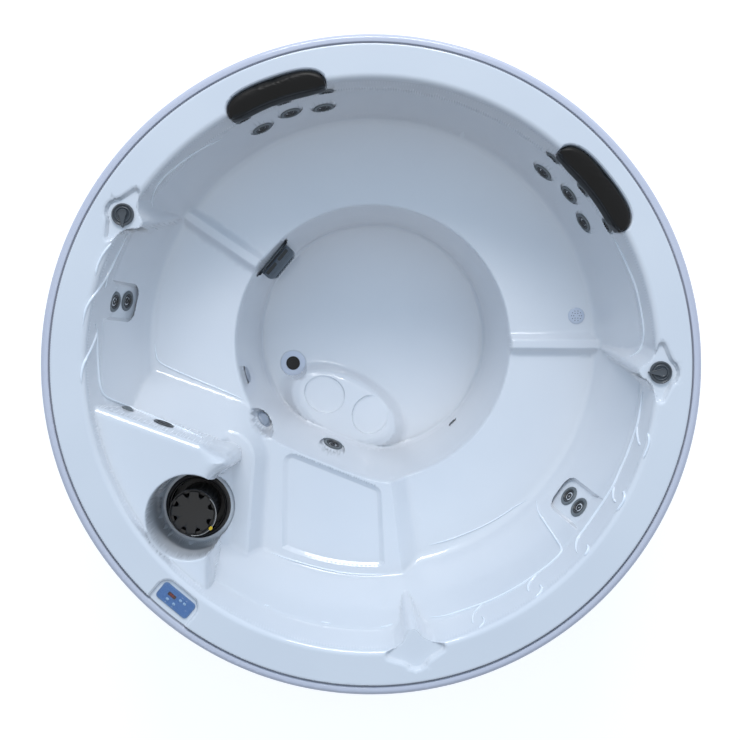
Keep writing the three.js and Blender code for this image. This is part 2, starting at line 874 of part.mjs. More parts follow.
function sidePanelFrame(place) {
  const turn = sidePanelTurns[place] * degree;
  const depth = sidePanelDepths[place];
  return wallFrame(wallPoint(turn, depth), inwardNormal(turn, depth));
}

function sideJetPlaces() {
  return sidePanelTurns.flatMap((_, place) => [1, -1].map((level) => {
    const tilt = place === 0 ? -1 : 1;
    return {
      name: `jet_${['side', 'corner'][place]}_${level > 0 ? 'upper' : 'lower'}`,
      size: jetRadius,
      frame: shifted(sidePanelFrame(place), (tilt * level * sideJetShift) / 2, (level * sideJetPitch) / 2,
        -sidePanelSink),
    };
  }));
}

function chordWallPoint(depth, along) {
  const slope = (footwellRadius - footwellFloorRadius) / (footwellDepth - seatDepth);
  const spot = chordPoint(chordDistance - slope * (depth - seatDepth), along);
  spot.y += (footwellFloorShift * (depth - seatDepth)) / (footwellDepth - seatDepth);
  return new THREE.Vector3(spot.x, spot.y, rimHeight - depth);
}

function tiltedNormal(outward, tilt) {
  return new THREE.Vector3(-outward.x, -outward.y, 0).multiplyScalar(Math.cos(tilt * degree))
    .addScaledVector(up, Math.sin(tilt * degree));
}

function footJetPlace() {
  const frame = wallFrame(chordWallPoint(footJetDepth, footJetAlong), tiltedNormal(chordOut, footJetTilt));
  return { name: 'jet_foot', size: jetRadius, frame: shifted(frame, 0, 0, -2 * jetPadSink) };
}

function footwellWallFrame(turnDegrees, depth, tilt) {
  const slope = (footwellRadius - footwellFloorRadius) / (footwellDepth - seatDepth);
  const share = (depth - seatDepth) / (footwellDepth - seatDepth);
  const spot = wellPoint(footwellRadius - slope * (depth - seatDepth), turnDegrees);
  spot.y += footwellFloorShift * share;
  const outward = new THREE.Vector2(Math.cos(turnDegrees * degree), Math.sin(turnDegrees * degree));
  return wallFrame(new THREE.Vector3(spot.x, spot.y, rimHeight - depth), tiltedNormal(outward, tilt));
}

const lightFrame = shifted(footwellWallFrame(lightTurn, lightDepth, lightTilt), 0, 0, -3 * jetPadSink);
const coverFrame = shifted(footwellWallFrame(coverTurn, coverDepth, 0), 0, 0, -jetPadSink);
const returnFrame = shifted(footwellWallFrame(returnTurn, returnDepth, 0), 0, 0, -jetPadSink);
const suctionFrame = shifted(footwellWallFrame(suctionTurn, suctionDepth + suctionHeight / 2, 0), 0, 0,
  -2 * jetPadSink);

const footJet = footJetPlace();
const wallJets = [...benchJetPlaces(), footJet];
const jets = [...wallJets, ...sideJetPlaces()];

const padSteps = 9;
const sunkSteps = 8;
const fittingSteps = 10;
const knobSteps = 16;
const filterSteps = 20;

function padOutline(radius) {
  return circleOutline(new THREE.Vector2(), radius, sunkSteps);
}

// The shelf face wall is a plane along the shelf turn
function shelfFaceFrame(run, depth) {
  const faceTurn = shelfTurn * degree;
  const out = new THREE.Vector2(-Math.sin(faceTurn), Math.cos(faceTurn));
  const share = (depth - shelfDepth - shelfLip) / (shelfSlopeDepth - shelfDepth - shelfLip);
  const offset = -shelfOffset + sheet * share;
  const length = (run - offset * out.x) / Math.cos(faceTurn);
  const origin = new THREE.Vector3(offset * out.x + length * Math.cos(faceTurn),
    offset * out.y + length * Math.sin(faceTurn), rimHeight - depth);
  const rise = sheet / (shelfSlopeDepth - shelfDepth - shelfLip);
  return wallFrame(origin, new THREE.Vector3(out.x, out.y, rise).normalize());
}

// Where the shelf face meets the basin wall
function faceEnd(depth) {
  const { centre, radius } = wallRing(depth);
  const across = centre.x * shelfOutX + centre.y * shelfOutY + shelfOffset;
  const along = centre.x * shelfOutY - centre.y * shelfOutX - Math.sqrt(radius ** 2 - across ** 2);
  return along * shelfOutY - shelfOffset * shelfOutX;
}

const airCapFrame = shelfFaceFrame(faceEnd(airCapDepth) + airCapGap, airCapDepth);
const slimJetFrame = shelfFaceFrame(slimJetRun, slimJetDepth);

function mouldVolume(grow) {
  const raised = [
    rib(leftRibTurn, grow),
    rib(rightRibTurn, grow),
    frontSeat(grow),
    filterDeck(grow),
    shelf(grow),
    ...pods.map((pod) => podFin(pod, grow)),
  ];
  const basinBody = raised.reduce((body, part) => body.subtract(part), basin(grow));
  const footwellBody = footPads.reduce(
    (body, pad) => body.add(footPad(pad, grow)),
    footwell(grow).subtract(mound(grow)),
  );
  const sidePad = roundedOutline([
    { x: sidePanelWidth / 2, y: -sidePanelLength / 2, round: sidePanelRound },
    { x: sidePanelWidth / 2, y: sidePanelLength / 2, round: sidePanelRound },
    { x: -sidePanelWidth / 2, y: sidePanelLength / 2, round: sidePanelRound },
    { x: -sidePanelWidth / 2, y: -sidePanelLength / 2, round: sidePanelRound },
  ], 3);
  const suctionPad = roundedOutline([
    { x: suctionPadWidth / 2, y: -suctionHeight / 2 - jetPadMargin },
    { x: suctionPadWidth / 2, y: suctionHeight / 2 + jetPadMargin },
    { x: -suctionPadWidth / 2, y: suctionHeight / 2 + jetPadMargin },
    { x: -suctionPadWidth / 2, y: -suctionHeight / 2 - jetPadMargin },
  ]);
  const reach = 2 * jetRadius;
  return unite([
    basinBody,
    frontSeatDishPocket(grow),
    filterWell(grow),
    footwellBody,
    ...pods.map((pod) => podPocket(pod, grow)),
    ...pillowTurns.map((turn) => pillowRecess(turn, grow)),
    controlNotch(grow),
    ...wallJets.map((jet) => (
      sunkPad(padOutline(jet.size + jetPadMargin), jet.frame, 0, jetPadSink, grow, reach)
    )),
    ...sidePanelTurns.map((_, place) => (
      sunkPad(sidePad, sidePanelFrame(place), sidePanelSink, sidePanelSink, grow, reach)
    )),
    sunkPad(suctionPad, suctionFrame, 0, 0, grow, reach),
    sunkPad(padOutline(drainRadius + jetPadMargin / 2), drainFrame, 0, 0, grow, reach),
    sunkPad(padOutline(lightRadius + jetPadMargin), lightFrame, 0, jetPadSink, grow, reach),
    sunkPad(padOutline(coverRadius + jetPadMargin / 2), coverFrame, 0, 0, grow, reach),
    sunkPad(padOutline(returnRadius + jetPadMargin / 2), returnFrame, 0, 0, grow, reach),
  ]);
}

function flange() {
  const deckTop = rimHeight;
  const ledgeTop = rimHeight - ledgeDrop;
  const deckOuter = outerRadius - ledgeWidth;
  const inner = outerRadius / 2;
  return solid(revolve([
    [inner, deckTop - sheet],
    [deckOuter - sheet, deckTop - sheet],
    [deckOuter - sheet, ledgeTop - sheet],
    [outerRadius - sheet, ledgeTop - sheet],
    [outerRadius - sheet, rimHeight - skirtDrop],
    [outerRadius, rimHeight - skirtDrop],
    [outerRadius, ledgeTop - edgeRound],
    [outerRadius - edgeRound, ledgeTop],
    [deckOuter, ledgeTop],
    [deckOuter, deckTop],
    [inner, deckTop],
  ], basinSteps));
}

function revolve(profile, steps) {
  const closed = [...profile, profile[0]].map(([radius, height]) => new THREE.Vector2(radius, height));
  return new THREE.LatheGeometry(closed, steps).rotateX(Math.PI / 2);
}

// A revolved body whose profile starts and ends on the axis
function turnedBody(profile, steps) {
  const points = profile.map(([radius, height]) => new THREE.Vector2(radius, height));
  return new THREE.LatheGeometry(points, steps).rotateX(Math.PI / 2);
}

function rod(radius, from, to, steps = padSteps) {
  return solid(loftGeometry([
    levelRing(circleOutline(new THREE.Vector2(), radius, steps), to),
    levelRing(circleOutline(new THREE.Vector2(), radius, steps), from),
  ]));
}

function inFrame(body, frame) {
  return body.transform(frame.toArray());
}

function barBetween(start, end, radius, steps = 6) {
  const axis = end.clone().sub(start);
  const turn = new THREE.Quaternion().setFromUnitVectors(up, axis.clone().normalize());
  const frame = new THREE.Matrix4().compose(start, turn, new THREE.Vector3(1, 1, 1));
  return inFrame(rod(radius, 0, axis.length(), steps), frame);
}

const groundFrame = (x, y, z) => new THREE.Matrix4().makeTranslation(x, y, z);
const drainFrame = groundFrame(drainX, drainY, rimHeight - footwellDepth);
const injectorFrame = groundFrame(injectorX, injectorY, rimHeight - seatDepth);
const canisterFrame = groundFrame(filterX, filterY, rimHeight - filterWellDepth);
const controlFrame = new THREE.Matrix4().makeRotationZ(controlTilt)
  .setPosition(controlPlace().x, controlPlace().y, rimHeight - ledgeDrop);

function podFrame(pod) {
  return groundFrame(podCentre(pod).x, podCentre(pod).y, rimHeight - podDepth);
}

const injectorSpigot = fittingSpigot * 0.8;

function shellHoles() {
  const hole = (radius, frame, steps = padSteps) => {
    const reach = (radius + jetHoleClearance) / Math.cos(Math.PI / steps);
    return inFrame(rod(reach, -3 * sheet, 3 * sheet, steps), frame);
  };
  const shrink = 2 * (controlBodyInset - jetHoleClearance);
  const controlOutline = slotOutline(controlLength - shrink, controlWidth - shrink);
  const controlHole = solid(loftGeometry([
    levelRing(controlOutline, overrun),
    levelRing(controlOutline, -3 * sheet),
  ]));
  return [
    ...jets.map((jet) => hole(jetTubeRadius, jet.frame)),
    hole(fittingSpigot, suctionFrame),
    hole(fittingSpigot, lightFrame, fittingSteps),
    hole(fittingSpigot, coverFrame, fittingSteps),
    hole(fittingSpigot / 2, returnFrame, fittingSteps),
    hole(fittingSpigot, drainFrame, fittingSteps),
    hole(injectorSpigot, injectorFrame, fittingSteps),
    hole(fittingSpigot / 2, airCapFrame, fittingSteps),
    hole(jetTubeRadius, slimJetFrame, fittingSteps),
    hole(canisterRadius, canisterFrame, filterSteps),
    ...pods.slice(0, 2).map((pod) => hole(knobStemRadius, podFrame(pod), knobSteps)),
    inFrame(controlHole, controlFrame),
  ];
}

const group = new THREE.Group();

function finish(color, roughness, metalness = 0) {
  return new THREE.MeshStandardMaterial({ color, roughness, metalness });
}

const acrylic = () => finish(0xeceff5, 0.12);
const darkPlastic = () => finish(0x3a3e42, 0.4);
const greyPlastic = () => finish(0x62676c, 0.4);
const blackPlastic = () => finish(0x0c0d0f, 0.45);
const palePlastic = () => finish(0xc9ced4, 0.35);
const whitePipe = () => finish(0xe6e7e4, 0.45);
const blueOverlay = () => finish(0x3f6aa8, 0.35);
const redWindow = () => finish(0x4a0d12, 0.2);
const blackVinyl = () => finish(0x101113, 0.5);
const cabinetGrey = () => finish(0x6f6a66, 0.7);
const frameTimber = () => finish(0x8a7f6d, 0.8);
const panBlack = () => finish(0x1b1c1e, 0.6);
const motorPaint = () => finish(0x2c3a4a, 0.45);
const steel = () => finish(0xb9bcc0, 0.3, 1);
const clearLens = () => finish(0xb4c4d2, 0.15);
const filterPaper = () => finish(0xd9dcd8, 0.85);

function addNode(name, geometry, material, frame) {
  const mesh = new THREE.Mesh(geometry, material);
  mesh.name = name;
  if (frame) {
    frame.decompose(mesh.position, mesh.quaternion, mesh.scale);
  }
  group.add(mesh);
  return mesh;
}

function addTubShell() {
  const formed = flange().add(mouldVolume(sheet)).subtract(mouldVolume(0));
  const drilled = shellHoles().reduce((body, hole) => body.subtract(hole), formed);
  addNode('tub_shell', geometryOf(drilled), acrylic());
}

// Each jet: a round escutcheon with a dished face, and the tube behind it
const jetFaceShare = 0.85;

function addJets() {
  for (const jet of jets) {
    const rim = jet.size;
    const geometry = turnedBody([
      [0, -jetTubeLength],
      [jetTubeRadius, -jetTubeLength],
      [jetTubeRadius, fitGap],
      [rim, fitGap],
      [rim * jetFaceShare, fitGap + jetFlange],
      [0, fitGap + jetFlange / 2],
    ], padSteps);
    addNode(jet.name, geometry, greyPlastic(), jet.frame);
  }
}

// The cup behind each jet takes its tube and feeds it with water
function jetCup(frame) {
  const bore = (jetTubeRadius + fitGap) / Math.cos(Math.PI / padSteps);
  const outer = bore + jetCupWall;
  const cup = solid(turnedBody([
    [0, -jetCupLength],
    [outer, -jetCupLength],
    [outer, -sheet - fitGap],
    [bore, -sheet - fitGap],
    [bore, -jetTubeLength - jetCupWall],
    [0, -jetTubeLength - jetCupWall],
  ], padSteps));
  return inFrame(cup, frame);
}

function tubeAlong(points, radius, sides, steps) {
  const curve = new THREE.CatmullRomCurve3(points, false, 'centripetal');
  const section = new THREE.Shape(circleOutline(new THREE.Vector2(), radius, sides));
  return new THREE.ExtrudeGeometry(section, { steps, bevelEnabled: false, extrudePath: curve });
}

function ringPoint(radius, turnDegrees, height) {
  const turn = turnDegrees * degree;
  return new THREE.Vector3(radius * Math.cos(turn), radius * Math.sin(turn), height);
}

const mainPipeSides = 6;
const mainPipeSteps = 20;

function mainPipeEnd() {
  return ringPoint(mainPipeRun, mainPipeStart, rimHeight - mainPipeDepth - mainPipeDrop);
}

function addJetManifold() {
  const height = rimHeight - mainPipeDepth;
  const points = Array.from({ length: mainPipeSteps }, (_, step) => {
    const share = (step + 1) / mainPipeSteps;
    return ringPoint(mainPipeRun, THREE.MathUtils.lerp(mainPipeStart, mainPipeFinish, share), height);
  });
  const bend = mainPipeEnd().setZ(height - 2 * mainPipeRadius);
  const run = [mainPipeEnd(), bend, ...points];
  const main = solid(tubeAlong(run, mainPipeRadius, mainPipeSides, mainPipeSteps));
  const cups = jets.filter((jet) => jet !== footJet).map((jet) => {
    const back = new THREE.Vector3(0, 0, -jetCupLength + fitGap).applyMatrix4(jet.frame);
    const turn = Math.atan2(back.y, back.x) / degree;
    const target = ringPoint(mainPipeRun, turn, height);
    return jetCup(jet.frame).add(barBetween(back, target, jetTubeRadius / 2, 4));
  });
  addNode('jet_manifold', geometryOf(unite([main, ...cups])), whitePipe());
  addNode('foot_jet_body', geometryOf(jetCup(footJet.frame)), whitePipe());
}

// A pillow is lofted straight and then bent round the rim; its ends and corners are drawn in
const pillowRings = 9;
const pillowPoints = 14;
const pillowSquareness = 2.6;
const pillowFall = 4;

function superCircle(angle) {
  const x = Math.cos(angle);
  const y = Math.sin(angle);
  const sum = Math.abs(x) ** pillowSquareness + Math.abs(y) ** pillowSquareness;
  const reach = sum ** (-1 / pillowSquareness);
  return new THREE.Vector2(x * reach, y * reach);
}

function pillowGeometry(turnDegrees) {
  const halfWidth = (pillowOuterRadius - pillowInnerRadius) / 2 - fitGap;
  const halfHeight = (pillowRecessDepth + pillowTopRise - fitGap) / 2;
  const middleRadius = (pillowOuterRadius + pillowInnerRadius) / 2;
  const middleHeight = rimHeight - pillowRecessDepth + fitGap + halfHeight;
  const halfLength = pillowHalfTurn * degree * middleRadius - 2 * fitGap;
  const rings = Array.from({ length: pillowRings }, (_, ring) => {
    const along = Math.sin((0.5 - ring / (pillowRings - 1)) * Math.PI);
    const bulge = Math.sqrt(1 - Math.abs(along) ** pillowFall);
    const swell = THREE.MathUtils.lerp(pillowEndShare, 1, bulge);
    const outline = Array.from({ length: pillowPoints }, (__, point) => {
      const spot = superCircle((point / pillowPoints) * fullTurn);
      return new THREE.Vector2(spot.x * halfWidth * swell, (spot.y + 1) * halfHeight * swell - halfHeight);
    });
    return levelRing(outline, along * halfLength);
  });
  const geometry = loftGeometry(rings);
  const position = geometry.getAttribute('position');
  for (let place = 0; place < position.count; place += 1) {
    const turn = turnDegrees * degree - position.getZ(place) / middleRadius;
    const radius = middleRadius + position.getX(place);
    const height = middleHeight + position.getY(place);
    position.setXYZ(place, radius * Math.cos(turn), radius * Math.sin(turn), height);
  }
  return geometryOf(solid(geometry));
}

function addPillows() {
  pillowTurns.forEach((turn, place) => {
    addNode(`pillow_${['left', 'right'][place]}`, pillowGeometry(turn), blackVinyl());
  });
}

// Level lofts: a straight block between two heights, with an optional drawn-in top
function slab(outline, top, bottom, topInset = 0) {
  const chamfer = topInset ? [levelRing(offsetOutline(outline, -topInset), top)] : [];
  return solid(loftGeometry([
    ...chamfer,
    levelRing(outline, top - topInset),
    levelRing(outline, bottom),
  ]));
}

function boxOutline(length, width, centreX = 0, centreY = 0) {
  return [
    new THREE.Vector2(centreX - length / 2, centreY - width / 2),
    new THREE.Vector2(centreX + length / 2, centreY - width / 2),
    new THREE.Vector2(centreX + length / 2, centreY + width / 2),
    new THREE.Vector2(centreX - length / 2, centreY + width / 2),
  ];
}

// Water diverters: a knob with a nose in each star pod, its stem turning in a valve below
const knobShares = { shoulder: 0.3, side: 0.8, tail: 0.6, rim: 0.75, crest: 0.85, crestRadius: 0.9 };

function addDiverters() {
  const nose = roundedOutline([
    { x: knobNose, y: 0, round: knobStemRadius / 3 },
    { x: knobRadius * knobShares.shoulder, y: knobRadius * knobShares.side },
    { x: -knobRadius * knobShares.tail, y: 0, round: knobStemRadius / 2 },
    { x: knobRadius * knobShares.shoulder, y: -knobRadius * knobShares.side },
  ]);
  const stemEnd = -sheet - knobHeight - valveWall;
  const knob = solid(turnedBody([
    [0, stemEnd],
    [knobStemRadius, stemEnd],
    [knobStemRadius, fitGap],
    [knobRadius, fitGap],
    [knobRadius, knobHeight * knobShares.rim],
    [knobRadius * knobShares.crestRadius, knobHeight * knobShares.crest],
    [knobRadius * knobShares.side, knobHeight / 2],
    [0, knobHeight / 2],
  ], knobSteps)).add(slab(nose, knobHeight, fitGap, knobHeight / 6));
  const bore = knobStemRadius + fitGap;
  const valve = solid(turnedBody([
    [0, -valveLength],
    [valveRadius, -valveLength],
    [valveRadius, -sheet - fitGap],
    [bore, -sheet - fitGap],
    [bore, stemEnd - valveWall],
    [0, stemEnd - valveWall],
  ], knobSteps));
  for (const pod of pods.slice(0, 2)) {
    const facing = new THREE.Matrix4().makeRotationZ(knobTurns[pod.name] * degree);
    const frame = podFrame(pod).multiply(facing);
    addNode(`diverter_knob_${pod.name}`, geometryOf(knob), darkPlastic(), frame);
    addNode(`diverter_valve_${pod.name}`, geometryOf(valve), whitePipe(), podFrame(pod));
  }
}

// Skim filter: a canister through the well floor, a floating weir, a lift-out basket, a cartridge
const notchSides = 6;
const canisterBottom = canisterRim - canisterLength;
const canisterBore = canisterRadius - canisterWall;
const basketSeat = basketStand - basketHeight;
const cartridgeRadius = basketRadius - basketPlate - 2 * canisterWall;
const pleatShare = 0.8;
const capTopShare = 0.9;
const bailSpanShare = 0.8;
const bailKneeShare = 0.9;
const bailSides = 4;
const bailSteps = 6;

function addCanister() {
  const canister = turnedBody([
    [0, canisterBottom],
    [canisterRadius, canisterBottom],
    [canisterRadius, fitGap],
    [canisterFlangeRadius, fitGap],
    [canisterFlangeRadius, canisterWall],
    [canisterRadius, canisterRim],
    [canisterBore, canisterRim],
    [canisterBore, basketSeat - fitGap],
    [cartridgeRadius + canisterWall, basketSeat - fitGap],
    [cartridgeRadius + canisterWall, canisterBottom + canisterWall],
    [0, canisterBottom + canisterWall],
  ], filterSteps);
  addNode('filter_canister', canister, blackPlastic(), canisterFrame);
}

function addWeir() {
  const outer = canisterBore - fitGap;
  const weir = revolve([
    [outer, -weirHeight],
    [outer, canisterRim - weirDrop],
    [outer - weirWall / 2, canisterRim - weirDrop / 2],
    [outer - weirWall, canisterRim - weirDrop],
    [outer - weirWall, -weirHeight],
  ], filterSteps);
  addNode('filter_weir', weir, blackPlastic(), canisterFrame);
}

function addBasket() {
  const top = basketStand;
  const bucket = solid(turnedBody([
    [0, basketSeat],
    [basketRadius - basketPlate, basketSeat],
    [basketRadius - basketPlate, top - basketPlate],
    [basketRadius, top - basketPlate],
    [basketRadius, top],
    [basketCapRadius, top],
    [basketCapRadius * capTopShare, top + basketPlate],
    [0, top + basketPlate],
  ], filterSteps));
  const hollowRadius = basketRadius - 2 * basketPlate;
  const hollow = rod(hollowRadius, basketSeat + basketPlate, top - basketPlate, fittingSteps);
  const notches = Array.from({ length: basketNotches }, (_, place) => {
    const turn = (place / basketNotches) * fullTurn;
    const reach = (basketCapRadius + hollowRadius) / 2;
    const frame = groundFrame(reach * Math.cos(turn), reach * Math.sin(turn), 0);
    return inFrame(rod(basketNotchRadius, top - 2 * basketPlate, top + overrun, notchSides), frame);
  });
  const span = basketCapRadius * bailSpanShare;
  const knee = span * bailKneeShare;
  const kneeHeight = top + basketBail * bailSpanShare;
  const bail = solid(tubeAlong([
    new THREE.Vector3(-span, 0, top + basketPlate / 2),
    new THREE.Vector3(-knee, 0, kneeHeight),
    new THREE.Vector3(0, 0, top + basketBail),
    new THREE.Vector3(knee, 0, kneeHeight),
    new THREE.Vector3(span, 0, top + basketPlate / 2),
  ], basketPlate / 3, bailSides, bailSteps));
  const open = notches.reduce((body, notch) => body.subtract(notch), bucket.subtract(hollow));
  addNode('filter_basket', geometryOf(open.add(bail)), blackPlastic(), canisterFrame);
}

function addCartridge() {
  const outline = Array.from({ length: 2 * cartridgePleats }, (_, place) => {
    const angle = (place / cartridgePleats) * Math.PI;
    const radius = place % 2 === 0 ? cartridgeRadius : cartridgeRadius * pleatShare;
    return new THREE.Vector2(radius * Math.cos(angle), radius * Math.sin(angle));
  });
  const bottom = canisterBottom + canisterWall + fitGap;
  const pleats = slab(outline, basketSeat - 2 * canisterWall, bottom + canisterWall);
  const cap = rod(cartridgeRadius, bottom, bottom + 2 * canisterWall, cartridgePleats);
  addNode('filter_cartridge', geometryOf(pleats.add(cap)), filterPaper(), canisterFrame);
}

// The suction cover stands out from the footwell wall as a slotted box
function addSuctionCover() {
  const outline = roundedOutline([
    { x: suctionWidth / 2, y: -suctionHeight / 2, round: suctionRound },
    { x: suctionWidth / 2, y: suctionHeight / 2, round: suctionRound },
    { x: -suctionWidth / 2, y: suctionHeight / 2, round: suctionRound },
    { x: -suctionWidth / 2, y: -suctionHeight / 2, round: suctionRound },
  ], 2);
  const pitch = (suctionWidth - 2 * suctionRound) / suctionSlots;
  const slotLength = (suctionHeight - 4 * suctionBar) / 2;
  const slots = Array.from({ length: suctionSlots }, (_, place) => (
    (place - (suctionSlots - 1) / 2) * pitch
  )).flatMap((x) => [-1, 1].map((side) => slab(
    boxOutline(pitch / 2, slotLength, x, (side * (slotLength + suctionBar)) / 2),
    suctionReach + overrun,
    suctionReach - suctionBar,
  )));
  const cover = slots.reduce(
    (body, slot) => body.subtract(slot),
    slab(outline, suctionReach, fitGap, suctionBar / 2).add(rod(fittingSpigot, -spigotLength, overrun)),
  );
  addNode('suction_cover', geometryOf(cover), darkPlastic(), suctionFrame);
}

// Round fittings: a face plate on the acrylic and a spigot through its hole
const faceShare = 0.9;

function addFitting(name, radius, spigot, crown, material, frame) {
  const geometry = turnedBody([
    [0, -spigotLength],
    [spigot, -spigotLength],
    [spigot, fitGap],
    [radius, fitGap],
    [radius * faceShare, fittingFlange],
    [0, fittingFlange + crown],
  ], fittingSteps);
  addNode(name, geometry, material, frame);
}

function addFittings() {
  const slim = fittingSpigot / 2;
  addFitting('floor_drain', drainRadius, fittingSpigot, -fittingFlange / 2, greyPlastic(), drainFrame);
  addFitting('light_lens', lightRadius, fittingSpigot, lightCrown, clearLens(), lightFrame);
  addFitting('footwell_cover', coverRadius, fittingSpigot, -fittingFlange / 4, greyPlastic(), coverFrame);
  addFitting('return_fitting', returnRadius, slim, -fittingFlange / 2, greyPlastic(), returnFrame);
  addFitting('seat_injector', injectorRadius, injectorSpigot, fittingFlange / 2, greyPlastic(),
    injectorFrame);
  addFitting('air_cap', airCapRadius, slim, lightCrown, greyPlastic(), airCapFrame);
  addFitting('slim_jet', slimJetRadius, jetTubeRadius, -fittingFlange / 2, darkPlastic(), slimJetFrame);
}

// Control panel: an oval bezel with a sunk window and four sprung buttons
const buttonPlaces = [
  { xShare: 0.1, yShare: 0.15 },
  { xShare: 0.23, yShare: 0.15 },
  { xShare: -0.19, yShare: -0.22 },
  { xShare: 0.02, yShare: -0.22 },
];

function panelPart(place, z) {
  return controlFrame.clone().multiply(
    new THREE.Matrix4().makeTranslation(place.xShare * controlLength, place.yShare * controlWidth, z),
  );
}

function addControlPanel() {
  const outline = slotOutline(controlLength, controlWidth);
  const body = slab(slotOutline(controlLength - 2 * controlBodyInset, controlWidth - 2 * controlBodyInset),
    overrun / 2, -controlBodyDepth);
  const bezel = slab(outline, controlThickness, fitGap, controlThickness / 3).add(body);
  const window = boxOutline(displayLength + 2 * fitGap, displayWidth + 2 * fitGap,
    displayPlace.xShare * controlLength, displayPlace.yShare * controlWidth);
  const buttonHole = slotOutline(buttonLength + 2 * fitGap, buttonWidth + 2 * fitGap, 3);
  const cuts = [
    slab(window, controlThickness + overrun, controlThickness - displaySeat),
    ...buttonPlaces.map((place) => slab(
      turned(buttonHole, 0, new THREE.Vector2(place.xShare * controlLength, place.yShare * controlWidth)),
      controlThickness + overrun,
      controlThickness - buttonSeat,
    )),
  ];
  const panel = cuts.reduce((whole, cut) => whole.subtract(cut), bezel);
  addNode('control_panel', geometryOf(panel), blueOverlay(), controlFrame);
  const display = slab(boxOutline(displayLength, displayWidth), displaySeat, fitGap);
  const displayFrame = panelPart(displayPlace, controlThickness - displaySeat);
  addNode('panel_display', geometryOf(display), redWindow(), displayFrame);
  const button = slab(slotOutline(buttonLength, buttonWidth, 3), buttonSeat + buttonRise,
    buttonTravel + fitGap, buttonRise / 2);
  buttonPlaces.forEach((place, index) => {
    const frame = panelPart(place, controlThickness - buttonSeat);
    addNode(`panel_button_${index + 1}`, geometryOf(button), palePlastic(), frame);
  });
}

// Base pan, with a plinth that carries the footwell
function addBasePan() {
  const plinthTop = rimHeight - footwellDepth - sheet - fitGap;
  const pan = turnedBody([
    [0, 0],
    [panelOuterRadius - basePanLip, 0],
    [panelOuterRadius, basePanLip],
    [panelOuterRadius, basePanHeight],
    [plinthRadius, basePanHeight],
    [plinthRadius, plinthTop],
    [0, plinthTop],
  ], frameSteps + filterSteps / 2);
  addNode('base_pan', pan, panBlack());
}

// Timber frame: six posts between a lower and an upper ring, clear of the acrylic
const frameSteps = 24;
const frameOuter = (outerRadius - ledgeWidth - sheet) * Math.cos(Math.PI / basinSteps) - fitGap;

function addCabinetFrame() {
  const bottom = basePanHeight + fitGap;
  const top = rimHeight - sheet - fitGap;
  const ring = (low, high) => solid(revolve([
    [frameOuter - frameDepth, low],
    [frameOuter, low],
    [frameOuter, high],
    [frameOuter - frameDepth, high],
  ], frameSteps));
  const postOuter = panelOuterRadius - panelThickness - fitGap;
  const posts = Array.from({ length: panelCount }, (_, place) => {
    const turn = firstPanelTurn + (wholeCircle / panelCount) * place;
    const outline = arcBand(turn, postHalfTurn, frameOuter - frameDepth, postOuter, 2);
    return slab(outline, top - frameRingHeight / 2, bottom);
  });
  const rings = [ring(bottom, bottom + frameRingHeight), ring(top - frameRingHeight, top)];
  const body = inFrame(slab(slotOutline(controlLength, controlWidth), overrun, -controlBodyDepth - overrun),
    controlFrame);
  const frame = unite([...rings, ...posts]).subtract(mouldVolume(sheet + fitGap)).subtract(body);
  addNode('cabinet_frame', geometryOf(frame), frameTimber());
}

// Cabinet side panels: curved boards with upright stave grooves; one of them is the access door
const panelInnerSteps = 5;

function panelOutline(turnDegrees) {
  const half = halfCircle / panelCount - (panelJoint / 2 / panelOuterRadius) / degree;
  const stave = (2 * half) / stavesPerPanel;
  const place = (radius, turn) => {
    const angle = turn * degree;
    return new THREE.Vector2(radius * Math.cos(angle), radius * Math.sin(angle));
  };
  const outer = Array.from({ length: stavesPerPanel }, (_, index) => {
    const start = turnDegrees - half + index * stave;
    const lip = (stave * staveGrooveShare) / 2;
    const root = place(panelOuterRadius - staveGroove, start);
    const face = [place(panelOuterRadius, start + lip), place(panelOuterRadius, start + stave - lip)];
    return index === 0 ? [place(panelOuterRadius, start), face[1]] : [root, ...face];
  }).flat();
  outer[outer.length - 1] = place(panelOuterRadius, turnDegrees + half);
  const span = half - postHalfTurn;
  const inside = Array.from({ length: panelInnerSteps + 1 }, (_, index) => (
    span - (2 * span * index) / panelInnerSteps
  ));
  const inner = [half, ...inside, -half].map((turn) => (
    place(panelOuterRadius - panelThickness, turnDegrees + turn)
  ));
  return [...outer, ...inner];
}

function addCabinetPanels() {
  for (let place = 0; place < panelCount; place += 1) {
    const turn = firstPanelTurn + (wholeCircle / panelCount) * (place + 1 / 2);
    const body = slab(panelOutline(turn), rimHeight - panelTopDrop, basePanHeight + fitGap);
    const name = place === doorPlace ? 'access_door' : `cabinet_panel_${place + 1}`;
    addNode(name, geometryOf(body), cabinetGrey());
  }
}

// Circulation pump: a round wet end and a finned motor on feet
function alongX(body, x, y, z) {
  const frame = new THREE.Matrix4().makeRotationY(Math.PI / 2).setPosition(x, y, z);
  return inFrame(body, frame);
}

const pumpZ = basePanHeight + pumpRise + pumpHeadRadius;
const headEnd = pumpX - pumpHeadLength;
const pumpHeadMiddle = pumpX - pumpHeadLength / 2;
const unionRadius = pipeRadius * 1.3;
const motorShares = { finRoot: 0.9, body: 0.8, capRadius: 0.95, capStart: 0.78, hood: 1.35 };

